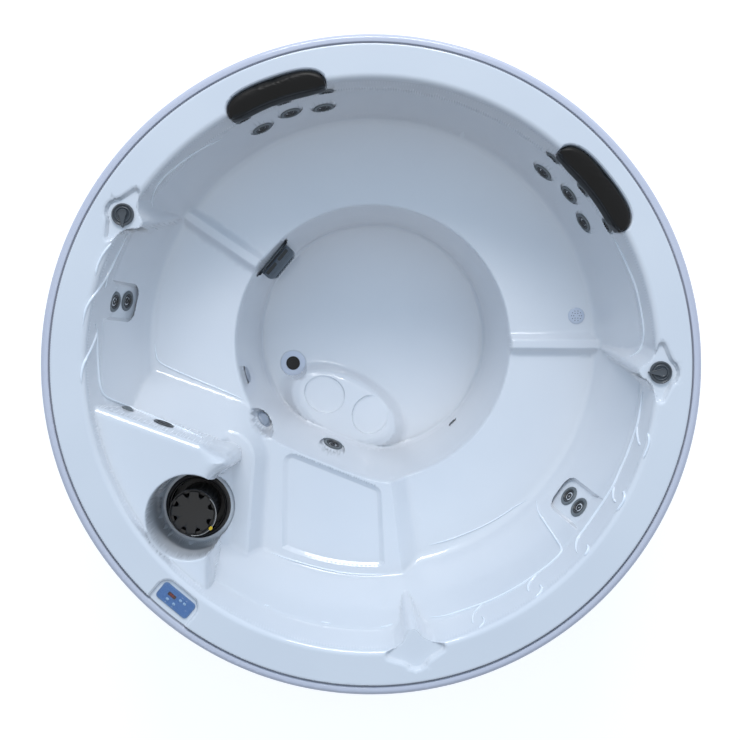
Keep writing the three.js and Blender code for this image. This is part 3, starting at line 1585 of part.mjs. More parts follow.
function addPump() {
  const outletStart = new THREE.Vector3(pumpHeadMiddle, pumpY, pumpZ);
  const outletEnd = outletStart.clone().setZ(pumpZ + pumpHeadRadius + pipeRadius);
  const foot = boxOutline(pumpHeadLength / 2, pumpHeadRadius, pumpHeadMiddle, pumpY);
  const head = unite([
    alongX(rod(pumpHeadRadius, 0, pumpHeadLength, filterSteps), headEnd, pumpY, pumpZ),
    alongX(rod(unionRadius, -pipeRadius, pipeRadius / 2, filterSteps / 2), headEnd, pumpY, pumpZ),
    barBetween(outletStart, outletEnd, unionRadius, filterSteps / 2),
    slab(foot, pumpZ, basePanHeight + fitGap),
  ]);
  addNode('pump_head', geometryOf(head), blackPlastic());
  const outline = Array.from({ length: 2 * motorFins }, (_, place) => {
    const angle = (place / motorFins) * Math.PI;
    const radius = place % 2 === 0 ? motorRadius : motorRadius * motorShares.finRoot;
    return new THREE.Vector2(radius * Math.cos(angle), radius * Math.sin(angle));
  });
  const motorStart = pumpX + fitGap;
  const middle = pumpX + motorLength / 2;
  const hoodChamfer = motorRadius / 20;
  const capStart = motorLength * motorShares.capStart;
  const endCap = rod(motorRadius * motorShares.capRadius, capStart, motorLength, motorFins);
  const motor = unite([
    alongX(slab(outline, motorLength * motorShares.body, 0), motorStart, pumpY, pumpZ),
    alongX(endCap, motorStart, pumpY, pumpZ),
    slab(boxOutline(motorLength / 2, motorRadius, middle, pumpY), pumpZ, basePanHeight + fitGap),
    slab(boxOutline(motorLength / 3, motorRadius * motorShares.body, middle, pumpY),
      pumpZ + motorRadius * motorShares.hood, pumpZ, hoodChamfer),
  ]);
  addNode('pump_motor', geometryOf(motor), motorPaint());
}

// Heater tube on two legs, and the box that holds the controls
const heaterLegShares = [0.2, 0.8];
const heaterEndRadius = heaterRadius * 1.25;

function addHeater() {
  const z = heaterHeight;
  const legs = heaterLegShares.map((share) => slab(
    boxOutline(heaterRadius, heaterRadius, heaterX + heaterLength * share, heaterY),
    z,
    basePanHeight + fitGap,
  ));
  const heater = unite([
    alongX(rod(heaterRadius, 0, heaterLength, filterSteps / 2), heaterX, heaterY, z),
    ...[0, heaterLength - heaterRadius / 2].map((start) => {
      const end = rod(heaterEndRadius, start, start + heaterRadius / 2, filterSteps / 2);
      return alongX(end, heaterX, heaterY, z);
    }),
    ...legs,
  ]);
  addNode('heater', geometryOf(heater), steel());
}

const boxShares = { body: 0.8, lidLength: 0.94, lidDepth: 0.88 };

function addControlBox() {
  const bottom = basePanHeight + fitGap;
  const outline = roundedOutline(boxOutline(boxLength, boxDepth, boxX, boxY)
    .map((point) => ({ x: point.x, y: point.y, round: boxRound })), 2);
  const lidOutline = boxOutline(boxLength * boxShares.lidLength, boxDepth * boxShares.lidDepth, boxX, boxY);
  const body = slab(outline, bottom + boxHeight * boxShares.body, bottom);
  const lid = slab(lidOutline, bottom + boxHeight, bottom, boxRound / 2);
  addNode('control_box', geometryOf(body.add(lid)), palePlastic());
}

// Pipe runs: suction to pump, pump to heater and foot jet, heater to the jet pipe
const pipeSides = 6;
const pipeSteps = 10;

function addPipes() {
  const suctionBack = new THREE.Vector3(0, 0, -spigotLength - fitGap).applyMatrix4(suctionFrame);
  const suctionOut = new THREE.Vector3(0, 0, -spigotLength - 2 * pipeRadius).applyMatrix4(suctionFrame);
  const round = suctionRunTurns.map((turn, place) => {
    const spot = wellPoint(suctionRunRadius, turn);
    const share = (place + 1) / suctionRunTurns.length;
    return new THREE.Vector3(spot.x, spot.y, THREE.MathUtils.lerp(suctionBack.z, pumpZ, share));
  });
  const inlet = new THREE.Vector3(headEnd - pipeRadius - fitGap, pumpY, pumpZ);
  const beforeInlet = inlet.clone().setX(inlet.x - 3 * pipeRadius);
  const suction = tubeAlong([suctionBack, suctionOut, ...round, beforeInlet, inlet], pipeRadius, pipeSides,
    2 * pipeSteps);
  addNode('suction_pipe', suction, whitePipe());

  const outlet = new THREE.Vector3(pumpHeadMiddle, pumpY, pumpZ + pumpHeadRadius + pipeRadius + fitGap);
  const heaterIn = new THREE.Vector3(heaterX - fitGap, heaterY, heaterHeight);
  const rise = outlet.clone().setZ(outlet.z + pipeRadius);
  const reach = heaterIn.clone().setX(heaterIn.x - 2 * pipeRadius);
  const footBack = new THREE.Vector3(0, 0, -jetCupLength - fitGap).applyMatrix4(footJet.frame);
  const footOut = new THREE.Vector3(0, 0, -jetCupLength - 3 * jetTubeRadius).applyMatrix4(footJet.frame);
  const main = solid(tubeAlong([outlet, rise, reach, heaterIn], pipeRadius, pipeSides, pipeSteps));
  const hose = solid(tubeAlong([footBack, footOut, reach], jetTubeRadius / 2, 6, pipeSteps));
  addNode('pump_pipe', geometryOf(main.add(hose)), whitePipe());

  const heaterOut = new THREE.Vector3(heaterX + heaterLength + fitGap, heaterY, heaterHeight);
  const ahead = heaterOut.clone().setX(heaterOut.x + 4 * pipeRadius);
  const end = mainPipeEnd().setZ(mainPipeEnd().z - fitGap);
  const under = end.clone().setZ(end.z - 3 * pipeRadius);
  const low = end.clone().setZ(heaterHeight + pipeRadius);
  low.x -= 3 * pipeRadius;
  const supply = tubeAlong([heaterOut, ahead, low, under, end], mainPipeRadius, pipeSides, pipeSteps);
  addNode('supply_pipe', supply, whitePipe());
}

addTubShell();
addJets();
addJetManifold();
addPillows();
addDiverters();
addCanister();
addWeir();
addBasket();
addCartridge();
addSuctionCover();
addFittings();
addControlPanel();
addBasePan();
addCabinetFrame();
addCabinetPanels();
addPump();
addHeater();
addControlBox();
addPipes();
export default group;
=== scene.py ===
import math

import bmesh
import bpy
import numpy as np
from mathutils import Matrix, Vector
from mathutils.geometry import delaunay_2d_cdt
from mathutils.kdtree import KDTree


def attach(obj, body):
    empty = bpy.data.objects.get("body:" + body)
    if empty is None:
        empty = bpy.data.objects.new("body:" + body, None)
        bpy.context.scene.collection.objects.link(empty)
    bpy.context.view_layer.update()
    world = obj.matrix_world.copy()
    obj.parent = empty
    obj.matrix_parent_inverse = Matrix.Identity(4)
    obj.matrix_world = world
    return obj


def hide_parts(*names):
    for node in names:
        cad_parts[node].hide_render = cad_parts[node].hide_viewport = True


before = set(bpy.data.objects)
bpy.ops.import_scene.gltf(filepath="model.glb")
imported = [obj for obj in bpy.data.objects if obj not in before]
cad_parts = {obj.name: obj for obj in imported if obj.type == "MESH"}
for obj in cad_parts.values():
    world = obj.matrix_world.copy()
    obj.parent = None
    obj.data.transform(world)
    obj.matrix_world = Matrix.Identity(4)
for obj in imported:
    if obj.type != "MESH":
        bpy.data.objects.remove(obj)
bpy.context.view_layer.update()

# The camera looks straight down, as in the photograph. It stands about 4 m above the rim and a little behind the
# tub's middle, and its picture is shifted by the few pixels that the photograph's framing needs.
PICTURE = 740
VIEW_SCALE = 1340
camera_data = bpy.data.cameras.new("camera")
camera_data.sensor_fit = "HORIZONTAL"
camera_data.sensor_width = 36
camera_data.lens = camera_data.sensor_width * VIEW_SCALE / PICTURE
camera_data.shift_x = -1 / PICTURE
camera_data.shift_y = -70 / PICTURE
camera_data.clip_end = 100
camera = bpy.data.objects.new("camera", camera_data)
camera.location = (0, 0.1925, 4.86)
bpy.context.scene.collection.objects.link(camera)
bpy.context.scene.camera = camera
bpy.context.scene.view_settings.view_transform = "Standard"


# The shell is one sheet of white cast acrylic, 7 mm thick, drawn by vacuum into a mould. Its face is a height field,
# the depth of the mould below the rim at each place in plan, and under it lies the back of the sheet. The rim turns
# down over the cabinet.
MM = 0.001
TURN = 2 * math.pi
RIM = 860
DECK_EDGE, OUTER = 852, 990
LIP = 20
CREASE_DEPTH, CREASE_R, CREASE_Y = 130, 830, 10
SEAT_DEPTH, SEAT_R = 390, 733
WELL = np.array([5.0, 54.0])
FLOOR_DEPTH, WELL_R, WELL_FLOOR_R, WELL_SHIFT = 750, 449, 394, 12
CHORD, CHORD_TURN = 410, math.radians(248.3)
RIB_DEPTH = 364
FRONT_DEPTH, FILTER_DECK_DEPTH, SHELF_DEPTH = 345, 285, 45
FILTER = np.array([-552.27, -465.05])
FILTER_R, FILTER_WELL_DEPTH, FILTER_BORE = 130, 291, 97.3
POD_R, POD_DEPTH = 868, 15
PODS = {"left": (148.9, 145.5), "right": (-1.6, -0.5), "front": (-81.2, -83.0)}
MOUND, MOUND_TURN = np.array([-95.0, -190.0]), math.radians(-28)
CONTROL_TURN, CONTROL_R = math.radians(230.4), 916
PILLOW_TURNS, PILLOW_RECESS = {"left": 109.5, "right": 38.2}, (10.6, 804, 906)
MOUND_OVAL, FOOT_PADS = (226, 128), ((-84, 15, 72, 64), (90, 28, 63, 69))
SHEET = 7
STAR_TIPS = (34, 9, 19, 9)
DRAIN_SPOT = np.array([-276.0, -31.0])


def smin(a, b, k):
    """The lesser of two depths, with the change between them rounded over k."""
    h = np.maximum(k - np.abs(a - b), 0) / k
    return np.minimum(a, b) - h * h * k / 4


def smax(a, b, k):
    return -smin(-a, -b, k)


def unit(turn):
    return np.array([math.cos(turn), math.sin(turn)])


def cone(p, d0, c0, r0, d1, c1, r1):
    """Depth of a wall lofted between two circles, by the circle of the loft that p lies on."""
    dc, dr = np.subtract(c1, c0), r1 - r0
    q = p - np.array(c0)
    a = dc @ dc - dr * dr
    b = -2 * (q @ dc + r0 * dr)
    c = (q * q).sum(1) - r0 * r0
    root = np.sqrt(np.maximum(b * b - 4 * a * c, 0))
    return d0 + (d1 - d0) * (-b + root) / (2 * a)


def polygon_distance(p, corners):
    """Signed distance to a closed outline, negative inside."""
    corners = np.asarray(corners, float)
    best = np.full(len(p), 1e12)
    inside = np.zeros(len(p), bool)
    for a, b in zip(corners, np.roll(corners, -1, 0)):
        edge, q = b - a, p - a
        t = np.clip((q @ edge) / (edge @ edge), 0, 1)
        gap = q - t[:, None] * edge
        best = np.minimum(best, (gap * gap).sum(1))
        crosses = (a[1] > p[:, 1]) != (b[1] > p[:, 1])
        side = (p[:, 0] - a[0]) * (b[1] - a[1]) - (b[0] - a[0]) * (p[:, 1] - a[1])
        inside ^= crosses & ((side < 0) == (b[1] > a[1]))
    return np.sqrt(best) * np.where(inside, -1, 1)


def rounded(corners, steps=6):
    """An outline with each (x, y, radius) corner turned into an arc."""
    out = []
    for i, (x, y, r) in enumerate(corners):
        p = np.array([x, y], float)
        if not r:
            out.append(p)
            continue
        back = np.array(corners[i - 1][:2]) - p
        ahead = np.array(corners[(i + 1) % len(corners)][:2]) - p
        back, ahead = back / np.linalg.norm(back), ahead / np.linalg.norm(ahead)
        half = math.acos(np.clip(back @ ahead, -1, 1)) / 2
        middle = (back + ahead) / np.linalg.norm(back + ahead)
        centre = p + middle * r / math.sin(half)
        start = p + back * r / math.tan(half) - centre
        sweep = (math.pi - 2 * half) * np.sign(ahead[0] * back[1] - ahead[1] * back[0])
        for s in range(steps + 1):
            c, n = math.cos(sweep * s / steps), math.sin(sweep * s / steps)
            out.append(centre + np.array([start[0] * c - start[1] * n, start[0] * n + start[1] * c]))
    return np.array(out)


def rotate(p, turn):
    c, s = math.cos(turn), math.sin(turn)
    return np.asarray(p) @ np.array([[c, s], [-s, c]])


def well_depth(p):
    """The footwell: a round pit with one straight side, a sloping wall and a rounded foot."""
    slope = (WELL_R - WELL_FLOOR_R) / (FLOOR_DEPTH - SEAT_DEPTH)
    q = p - WELL
    depth = np.full(len(p), 560.0)
    for _ in range(8):
        share = np.clip((depth - SEAT_DEPTH) / (FLOOR_DEPTH - SEAT_DEPTH), -0.2, 1)
        r = q - np.outer(share, (0, WELL_SHIFT))
        reach = smax(np.hypot(r[:, 0], r[:, 1]) - WELL_R, r @ unit(CHORD_TURN) - CHORD, 40)
        target = SEAT_DEPTH - reach / slope
        depth = np.clip(0.5 * depth + 0.5 * target, 200, 900)
    return np.where(target < 200, target, depth)


def star(name):
    """A pod's outline in plan: four tips and the hollows between them."""
    turn, corners = math.radians(PODS[name][0]), []
    for i in range(8):
        reach = 44 if i % 2 else (82 if i % 4 == 0 else 98)
        spot = rotate(reach * unit(i * TURN / 8), turn) + POD_R * unit(turn)
        corners.append((*spot, 44 if i % 2 else STAR_TIPS[i // 2]))
    return rounded(corners, 5)


def fin_depth(p, name):
    """The fin below a pod: the star outline sinking along a lean towards the rib."""
    turn, rib = (math.radians(a) for a in PODS[name])
    outline = star(name)
    tip = (POD_R - 82) * unit(turn)
    lean = (SEAT_R - 22) * unit(rib) + WELL - tip
    lean *= min(1, 92 / np.linalg.norm(lean))
    near = np.hypot(*(p - POD_R * unit(turn)).T) < 260
    depth = np.full(len(p), 600.0)
    q = p[near]
    best = np.full(len(q), 600.0)
    last = polygon_distance(q, outline)
    best[last <= 0] = POD_DEPTH
    steps = 36
    for s in range(1, steps + 1):
        share = s / steps
        gap = polygon_distance(q - share * lean, outline)
        hit = (best > 500) & (gap <= 0)
        part = last[hit] / np.maximum(last[hit] - gap[hit], 1e-9)
        best[hit] = POD_DEPTH + 390 * (s - 1 + part) / steps
        last = gap
    free = best > 500
    best[free] = POD_DEPTH + 390 + last[free] * 3
    depth[near] = best
    return depth


def chord_point(out, along):
    o = unit(CHORD_TURN)
    return WELL + out * o + along * np.array([-o[1], o[0]])


def well_point(radius, degrees):
    return WELL + radius * unit(math.radians(degrees))


def front_outline():
    near = well_point(WELL_R / 2, -83) + (15, 0)
    far = well_point(OUTER, -83) + (15, 0)
    corner = chord_point(CHORD - LIP, -190)
    return rounded([(*near, 0), (*corner, 40), (FILTER[0] - FILTER_R, -370, 0),
                    (FILTER[0] - FILTER_R, -OUTER, 0), (*far, 0)])


def dish_outline():
    back = [well_point(SEAT_R - 6, 244.2 + (273 - 244.2) * s / 14) for s in range(15)]
    points = [(*chord_point(CHORD + LIP, -138), 26)] + [(*b, 0) for b in back[1:-1]]
    return rounded(points + [(*back[-1], 20), (*chord_point(CHORD + LIP, 200), 26)])


def filter_deck_outline():
    return rounded([(-OUTER, -222, 0), (-OUTER, -OUTER, 0), (-422, -OUTER, 0), (-362, -222, 95)], 10)


SHELF_TURN = math.radians(-19.9)
SHELF_OUT = np.array([-math.sin(SHELF_TURN), math.cos(SHELF_TURN)])
SHELF_FACE, SHELF_END = 405, -482


def on_shelf_face(x):
    run = (x + SHELF_FACE * SHELF_OUT[0]) / math.cos(SHELF_TURN)
    return x, -SHELF_FACE * SHELF_OUT[1] + run * math.sin(SHELF_TURN)


def shelf_outline():
    return rounded([(*on_shelf_face(-OUTER), 0), (-OUTER, -OUTER, 0), (SHELF_END, -OUTER, 0),
                    (SHELF_END, FILTER[1], 0), (-490, -357, 30), (*on_shelf_face(-372), 32)], 8)


def shelf_foot():
    """The ground that the shelf stands on, out to the rim."""
    return np.array([on_shelf_face(-OUTER), (-OUTER, -OUTER), (SHELF_END, -OUTER), on_shelf_face(SHELF_END)])


def stretch(x, stops):
    """A piecewise slope through (place, depth) stops, rising in place."""
    return np.interp(x, [s[0] for s in stops], [s[1] for s in stops])


def raise_block(depth, p, outline, stops, k):
    """Raises a block over the ground: its top inside the outline, then down the stops outside it."""
    near = in_box(p, outline, 2 * stops[-1][0] + 40)
    gap = polygon_distance(p[near], outline)
    block = stretch(gap, stops) + np.maximum(gap - stops[-1][0], 0) * 3
    depth[near] = smin(depth[near], block, k)


def cut_pocket(depth, p, outline, stops, k):
    """Cuts a pocket: its floor well inside the outline, and up the stops past its edge."""
    near = in_box(p, outline, stops[-1][0] + 30)
    gap = polygon_distance(p[near], outline)
    cut = stretch(gap, stops) - np.maximum(gap - stops[-1][0], 0) * 60
    depth[near] = smax(depth[near], cut, k)


def raise_shelf(depth, p):
    """The shelf's tongue: a tight lip along its face wall, and a long soft one round its nose."""
    outline = shelf_outline()
    near = in_box(p, outline, 60)
    q = p[near]
    gap = polygon_distance(q, outline)
    tight = stretch(gap, [(-22, SHELF_DEPTH), (-14, 46.5), (-7, 50.5), (-2, 57), (1, 67), (7, 250), (9, 300)])
    soft = stretch(gap, [(-52, SHELF_DEPTH), (-40, 47), (-28, 53), (-18, 66), (-9, 96), (-1, 160), (8, 300)])
    share = np.clip((q[:, 0] + 520) / 70, 0, 1)
    share = share * share * (3 - 2 * share)
    block = tight + (soft - tight) * share + np.maximum(gap - 9, 0) * 8
    depth[near] = smin(depth[near], block, 5)


def in_box(p, outline, margin):
    return ((p > outline.min(0) - margin) & (p < outline.max(0) + margin)).all(1)


def pillow_reach(share, corner=4.2):
    """How far a pillow's plan reaches out at a share of its half length: full in the middle, round at its ends."""
    return np.maximum(0, 1 - np.abs(share) ** corner) ** (1 / corner)


def pillow_pocket(degrees, half, inner, outer, steps=40):
    shares = np.sin(np.linspace(-1, 1, steps + 1) * math.pi / 2)
    turns = [math.radians(degrees + half * s) for s in shares]
    back = [(inner + (outer - inner) * pillow_reach(s)) * unit(t) for s, t in zip(shares, turns)]
    return np.array(back + [inner * unit(t) for t in reversed(turns[1:-1])])


CONTROL_TILT = CONTROL_TURN - math.radians(270)
NOTCH = rounded([(69, -50, 0), (69, 37.5, 33), (-69, 37.5, 33), (-69, -50, 0)], 8)


def from_control(q):
    return rotate(q, CONTROL_TILT) + CONTROL_R * unit(CONTROL_TURN)


WALL = [(0, 0, 0, DECK_EDGE + LIP), (LIP, 0, 0, DECK_EDGE), (CREASE_DEPTH, 0, CREASE_Y, CREASE_R),
        (SEAT_DEPTH, *WELL, SEAT_R)]


def wall_point(turn, depth):
    """A point of the upper wall, down its three slopes."""
    for a, b in zip(WALL, WALL[1:]):
        if depth <= b[0]:
            break
    s = (depth - a[0]) / (b[0] - a[0])
    x, y, r = (a[i] + s * (b[i] - a[i]) for i in (1, 2, 3))
    return np.array([x + r * math.cos(turn), y + r * math.sin(turn), RIM - depth])


def basis(origin, normal):
    """A place: its level direction, the one up the wall, the one out of it, and its origin."""
    normal = np.asarray(normal, float) / np.linalg.norm(normal)
    level = np.cross((0, 0, 1), normal)
    level /= np.linalg.norm(level)
    return np.column_stack([level, np.cross(normal, level), normal, origin])


def shifted(b, x, y, z):
    return np.column_stack([b[:, :3], b[:, 3] + b[:, :3] @ (x, y, z)])


def wall_basis(degrees, depth):
    turn = math.radians(degrees)
    along = wall_point(turn + 0.01, depth) - wall_point(turn - 0.01, depth)
    down = wall_point(turn, depth * 1.01) - wall_point(turn, depth * 0.99)
    normal = np.cross(along, down)
    if normal[:2] @ unit(turn) > 0:
        normal = -normal
    return basis(wall_point(turn, depth), normal)


def well_basis(degrees, depth, tilt):
    share = (depth - SEAT_DEPTH) / (FLOOR_DEPTH - SEAT_DEPTH)
    spot = well_point(WELL_R - (WELL_R - WELL_FLOOR_R) * share, degrees) + (0, WELL_SHIFT * share)
    return tilted_basis(spot, depth, unit(math.radians(degrees)), tilt)


def tilted_basis(spot, depth, out, tilt):
    t = math.radians(tilt)
    return basis((*spot, RIM - depth), (*(-out * math.cos(t)), math.sin(t)))


JETS = {}
for side, centre in (("left", 108.7), ("right", 38.7)):
    for i in (-1, 0, 1):
        JETS[f"jet_{side}_upper_{i + 2}"] = (24, shifted(wall_basis(centre + 9.2 * i, 125), 0, 0, -5))
        JETS[f"jet_{side}_lower_{i + 2}"] = (33, shifted(wall_basis(centre + 7.5 * i, 257 if i else 226), 0, 0, -5))
foot_spot = chord_point(CHORD - 55 * 206 / 360, 8) + (0, WELL_SHIFT * 206 / 360)
JETS["jet_foot"] = (33, shifted(tilted_basis(foot_spot, 596, unit(CHORD_TURN), 20), 0, 0, -10))
WALL_JETS = dict(JETS)
SIDE_PANELS = [wall_basis(168.4, 224), wall_basis(-36.6, 245)]
for panel, name, lean in zip(SIDE_PANELS, ("side", "corner"), (-1, 1)):
    for level, word in ((1, "upper"), (-1, "lower")):
        JETS[f"jet_{name}_{word}"] = (33, shifted(panel, lean * level * 4, level * 38, -14))
LIGHT = shifted(well_basis(215.9, 478, 26), 0, 0, -15)
COVER = shifted(well_basis(195.3, 500, 0), 0, 0, -5)
RETURN = shifted(well_basis(-46.8, 690, 0), 0, 0, -5)
SUCTION = shifted(well_basis(140.7, 556, 0), 0, 0, -10)
COVER_PAD = shifted(well_basis(195.3, 500, 3), 0, 0, -5)
RETURN_PAD = shifted(well_basis(-46.8, 690, 3), 0, 0, -5)
SUCTION_PAD = shifted(well_basis(140.7, 556, 3), 0, 0, -10)


def in_plane(p, b):
    """Where the upright line through p meets the plane of a pad, in the pad's own x and y, and its depth."""
    n, o = b[:, 2], b[:, 3]
    z = o[2] - ((p[:, 0] - o[0]) * n[0] + (p[:, 1] - o[1]) * n[1]) / n[2]
    q = np.column_stack([p, z]) - o
    return q @ b[:, 0], q @ b[:, 1], RIM - z


def sink_pad(depth, p, b, gap_of, sink, soft, round_k=8, limit=None):
    """Cuts a flat pad into the wall: level with its plane inside, rising at its edge, and no deeper than limit."""
    n = b[:, 2]
    near = np.hypot(*(p - b[:2, 3]).T) < 260
    u, v, plane = in_plane(p[near], b)
    gap = gap_of(u, v)
    lift = np.maximum(gap + soft, 0) * (sink / soft)
    lift = np.where(gap > 0, sink + gap * 2.5, lift)
    pad = plane - lift / max(n[2], 0.12)
    pad = np.where((np.abs(u) < 180) & (np.abs(v) < 200), pad, -1e4)
    if limit is not None:
        pad = smin(pad, limit[near], 4)
    depth[near] = smax(depth[near], pad, round_k)
    return depth


def round_gap(radius):
    return lambda u, v: np.hypot(u, v) - radius


def box_gap(half_u, half_v, r):
    def gap(u, v):
        x, y = np.abs(u) - (half_u - r), np.abs(v) - (half_v - r)
        return np.hypot(np.maximum(x, 0), np.maximum(y, 0)) + np.minimum(np.maximum(x, y), 0) - r
    return gap


def panel_gap(u, v):
    """A side panel: straight sides up to the crease, and round corners low down."""
    x, y = np.abs(u) - (61 - 36), -v - (112 - 36)
    return np.hypot(np.maximum(x, 0), np.maximum(y, 0)) + np.minimum(np.maximum(x, y), 0) - 36


def field(p):
    """Depth of the moulded surface below the rim, in millimetres, for plan points in millimetres."""
    radius = np.hypot(p[:, 0], p[:, 1])
    edge = np.clip(DECK_EDGE + LIP - radius, 0, LIP)
    lip = LIP - np.sqrt(np.maximum(LIP * LIP - edge * edge, 0))
    band = cone(p, LIP, (0, 0), DECK_EDGE, CREASE_DEPTH, (0, CREASE_Y), CREASE_R + 3)
    back = cone(p, CREASE_DEPTH, (0, CREASE_Y), CREASE_R, SEAT_DEPTH, WELL, SEAT_R)
    wall = smin(np.maximum(lip, band), smax(np.full(len(p), float(CREASE_DEPTH)), back, 8), 10)
    wall = np.where(radius > 845, np.maximum(lip, band), wall)
    basin = smin(wall, np.full(len(p), float(SEAT_DEPTH)), 60)
    for name, (_, rib) in PODS.items():
        if name != "front":
            across = np.abs((p - WELL) @ rotate((0, 1), math.radians(rib)))
            along = (p - WELL) @ unit(math.radians(rib))
            crest = RIB_DEPTH + 1.7 * (np.sqrt(np.maximum(across - 10, 0) ** 2 + 36) - 6)
            crest = np.where(along > 200, crest, 900)
            basin = smin(basin, crest, 14)
    raise_block(basin, p, front_outline(), [(-10, FRONT_DEPTH), (0, 352), (60, 401)], 14)
    raise_block(basin, p, filter_deck_outline(), [(-12, FILTER_DECK_DEPTH), (0, 291), (37, 345), (75, 401)], 16)
    raise_block(basin, p, shelf_foot(), [(0, 250), (140, 401)], 10)
    raise_shelf(basin, p)
    for name in PODS:
        basin = smin(basin, fin_depth(p, name), 12)
    cut_pocket(basin, p, dish_outline(), [(-14, 357), (-4, 351), (2, 345), (6, 0)], 5)
    pit = well_depth(p)
    ground = np.full(len(p), float(FLOOR_DEPTH))
    foot = rotate(p - MOUND, -MOUND_TURN)
    oval = (np.hypot(foot[:, 0] / MOUND_OVAL[0], foot[:, 1] / MOUND_OVAL[1]) - 1) * 150
    hump = stretch(oval, [(-46, 684), (-34, 687), (-22, 694), (0, 740), (10, 752), (200, 900)])
    ground = smin(ground, hump, 12)
    for x, y, lx, ly in FOOT_PADS:
        oval = (np.hypot((foot[:, 0] - x) / lx, (foot[:, 1] - y) / ly) - 1) * 66
        ground = smax(ground, stretch(oval, [(-9, 691), (-4, 690), (0, 684), (6, 400)]), 4)
    at_drain = np.hypot(*(p - DRAIN_SPOT).T)
    ground = smax(ground, np.where(at_drain < 90, FLOOR_DEPTH - np.maximum(at_drain - 45, 0) * 4, 0), 6)
    pit = smin(pit, ground, 46)
    basin = smax(basin, pit, 26)
    for b, size in ((LIGHT, 38), (COVER_PAD, 34), (RETURN_PAD, 21)):
        basin = sink_pad(basin, p, b, round_gap(size), 5, 5)
    basin = sink_pad(basin, p, SUCTION_PAD, box_gap(75, 64, 10), 5, 5)
    basin = sink_pad(basin, p, WALL_JETS["jet_foot"][1], round_gap(41), 5, 5)
    for name, (size, b) in WALL_JETS.items():
        if name != "jet_foot":
            basin = sink_pad(basin, p, b, round_gap(size + 9), 5, 6, 6)
    for b in SIDE_PANELS:
        basin = sink_pad(basin, p, shifted(b, 0, 0, -14), panel_gap, 14, 9, 4, band)
    for name in PODS:
        cut_pocket(basin, p, star(name), [(-4, POD_DEPTH), (-1, 13.6), (6, 2.6), (10, 0.4), (13, -1), (24, -90)], 3)
        depth_inside = in_box(p, star(name), 0)
        level = polygon_distance(p[depth_inside], star(name)) < -3
        basin[np.flatnonzero(depth_inside)[level]] = POD_DEPTH
    for turn in PILLOW_TURNS.values():
        sides = [(-5, 76), (-2, 70), (0, 12), (3, 2), (6, -1), (14, -90)]
        cut_pocket(basin, p, pillow_pocket(turn, *PILLOW_RECESS), sides, 3)
    cut_pocket(basin, p, from_control(NOTCH), [(-2, 10), (0, 9), (3, 1), (6, 0), (20, -90)], 2)
    hole = np.hypot(*(p - FILTER).T) - FILTER_R
    well = [(-19, FILTER_WELL_DEPTH), (-15, 289.5), (-12.5, 283), (-11.5, 270), (-3, 62), (-1, 50), (1.5, 45), (4, 38),
            (8, -200)]
    basin = smax(basin, stretch(hole, well), 2)
    step = stretch(radius, [(957.5, 0), (960, 1.6), (961.4, 12), (963.6, 14), (965.4, 12), (966.4, 7.6), (969, 6.8),
                            (985, 7.4)])
    return np.where(radius > 957, np.maximum(basin, step), basin)


def circle_rows(centre, radii, spacing, first=0.0, last=TURN):
    """Rows of mesh points round a circle. The shell has such rows along every edge, and a loose grid between."""
    rows = []
    for r in radii:
        count = max(8, int(abs(last - first) * r / spacing))
        a = np.linspace(first, last, count, endpoint=False)
        rows.append(np.column_stack([centre[0] + r * np.cos(a), centre[1] + r * np.sin(a)]))
    return rows


def outline_rows(corners, offsets, spacing):
    """Rows of points beside a closed outline, at each offset (positive outside)."""
    corners = np.asarray(corners, float)
    ring = np.vstack([corners, corners[:1]])
    steps = np.hypot(*np.diff(ring, axis=0).T)
    run = np.concatenate([[0], np.cumsum(steps)])
    count = max(8, int(run[-1] / spacing))
    at = np.linspace(0, run[-1], count, endpoint=False)
    line = np.column_stack([np.interp(at, run, ring[:, 0]), np.interp(at, run, ring[:, 1])])
    ahead = np.roll(line, -1, 0) - np.roll(line, 1, 0)
    normal = np.column_stack([ahead[:, 1], -ahead[:, 0]])
    normal /= np.maximum(np.hypot(*normal.T), 1e-9)[:, None]
    area = (ring[:-1, 0] * ring[1:, 1] - ring[1:, 0] * ring[:-1, 1]).sum()
    normal *= np.sign(area)
    return [line + o * normal for o in offsets]


def plane_rows(b, rings):
    """Points of a pad's plane, seen from above; each ring is an array of (u, v, lift)."""
    rows = []
    for ring in rings:
        ring = np.asarray(ring, float)
        rows.append((b[:, 3] + ring @ b[:, :3].T)[:, :2])
    return rows


def pad_circle(r, lift, count):
    """A ring of (u, v, lift) points round a pad."""
    a = np.linspace(0, TURN, count, endpoint=False)
    return np.column_stack([r * np.cos(a), r * np.sin(a), np.full(count, lift)])


def pad_box(half_u, half_v, r, lift, spacing):
    line = outline_rows(rounded([(half_u, -half_v, r), (half_u, half_v, r), (-half_u, half_v, r),
                                 (-half_u, -half_v, r)], 6), [0], spacing)[0]
    return np.column_stack([line, np.full(len(line), lift)])


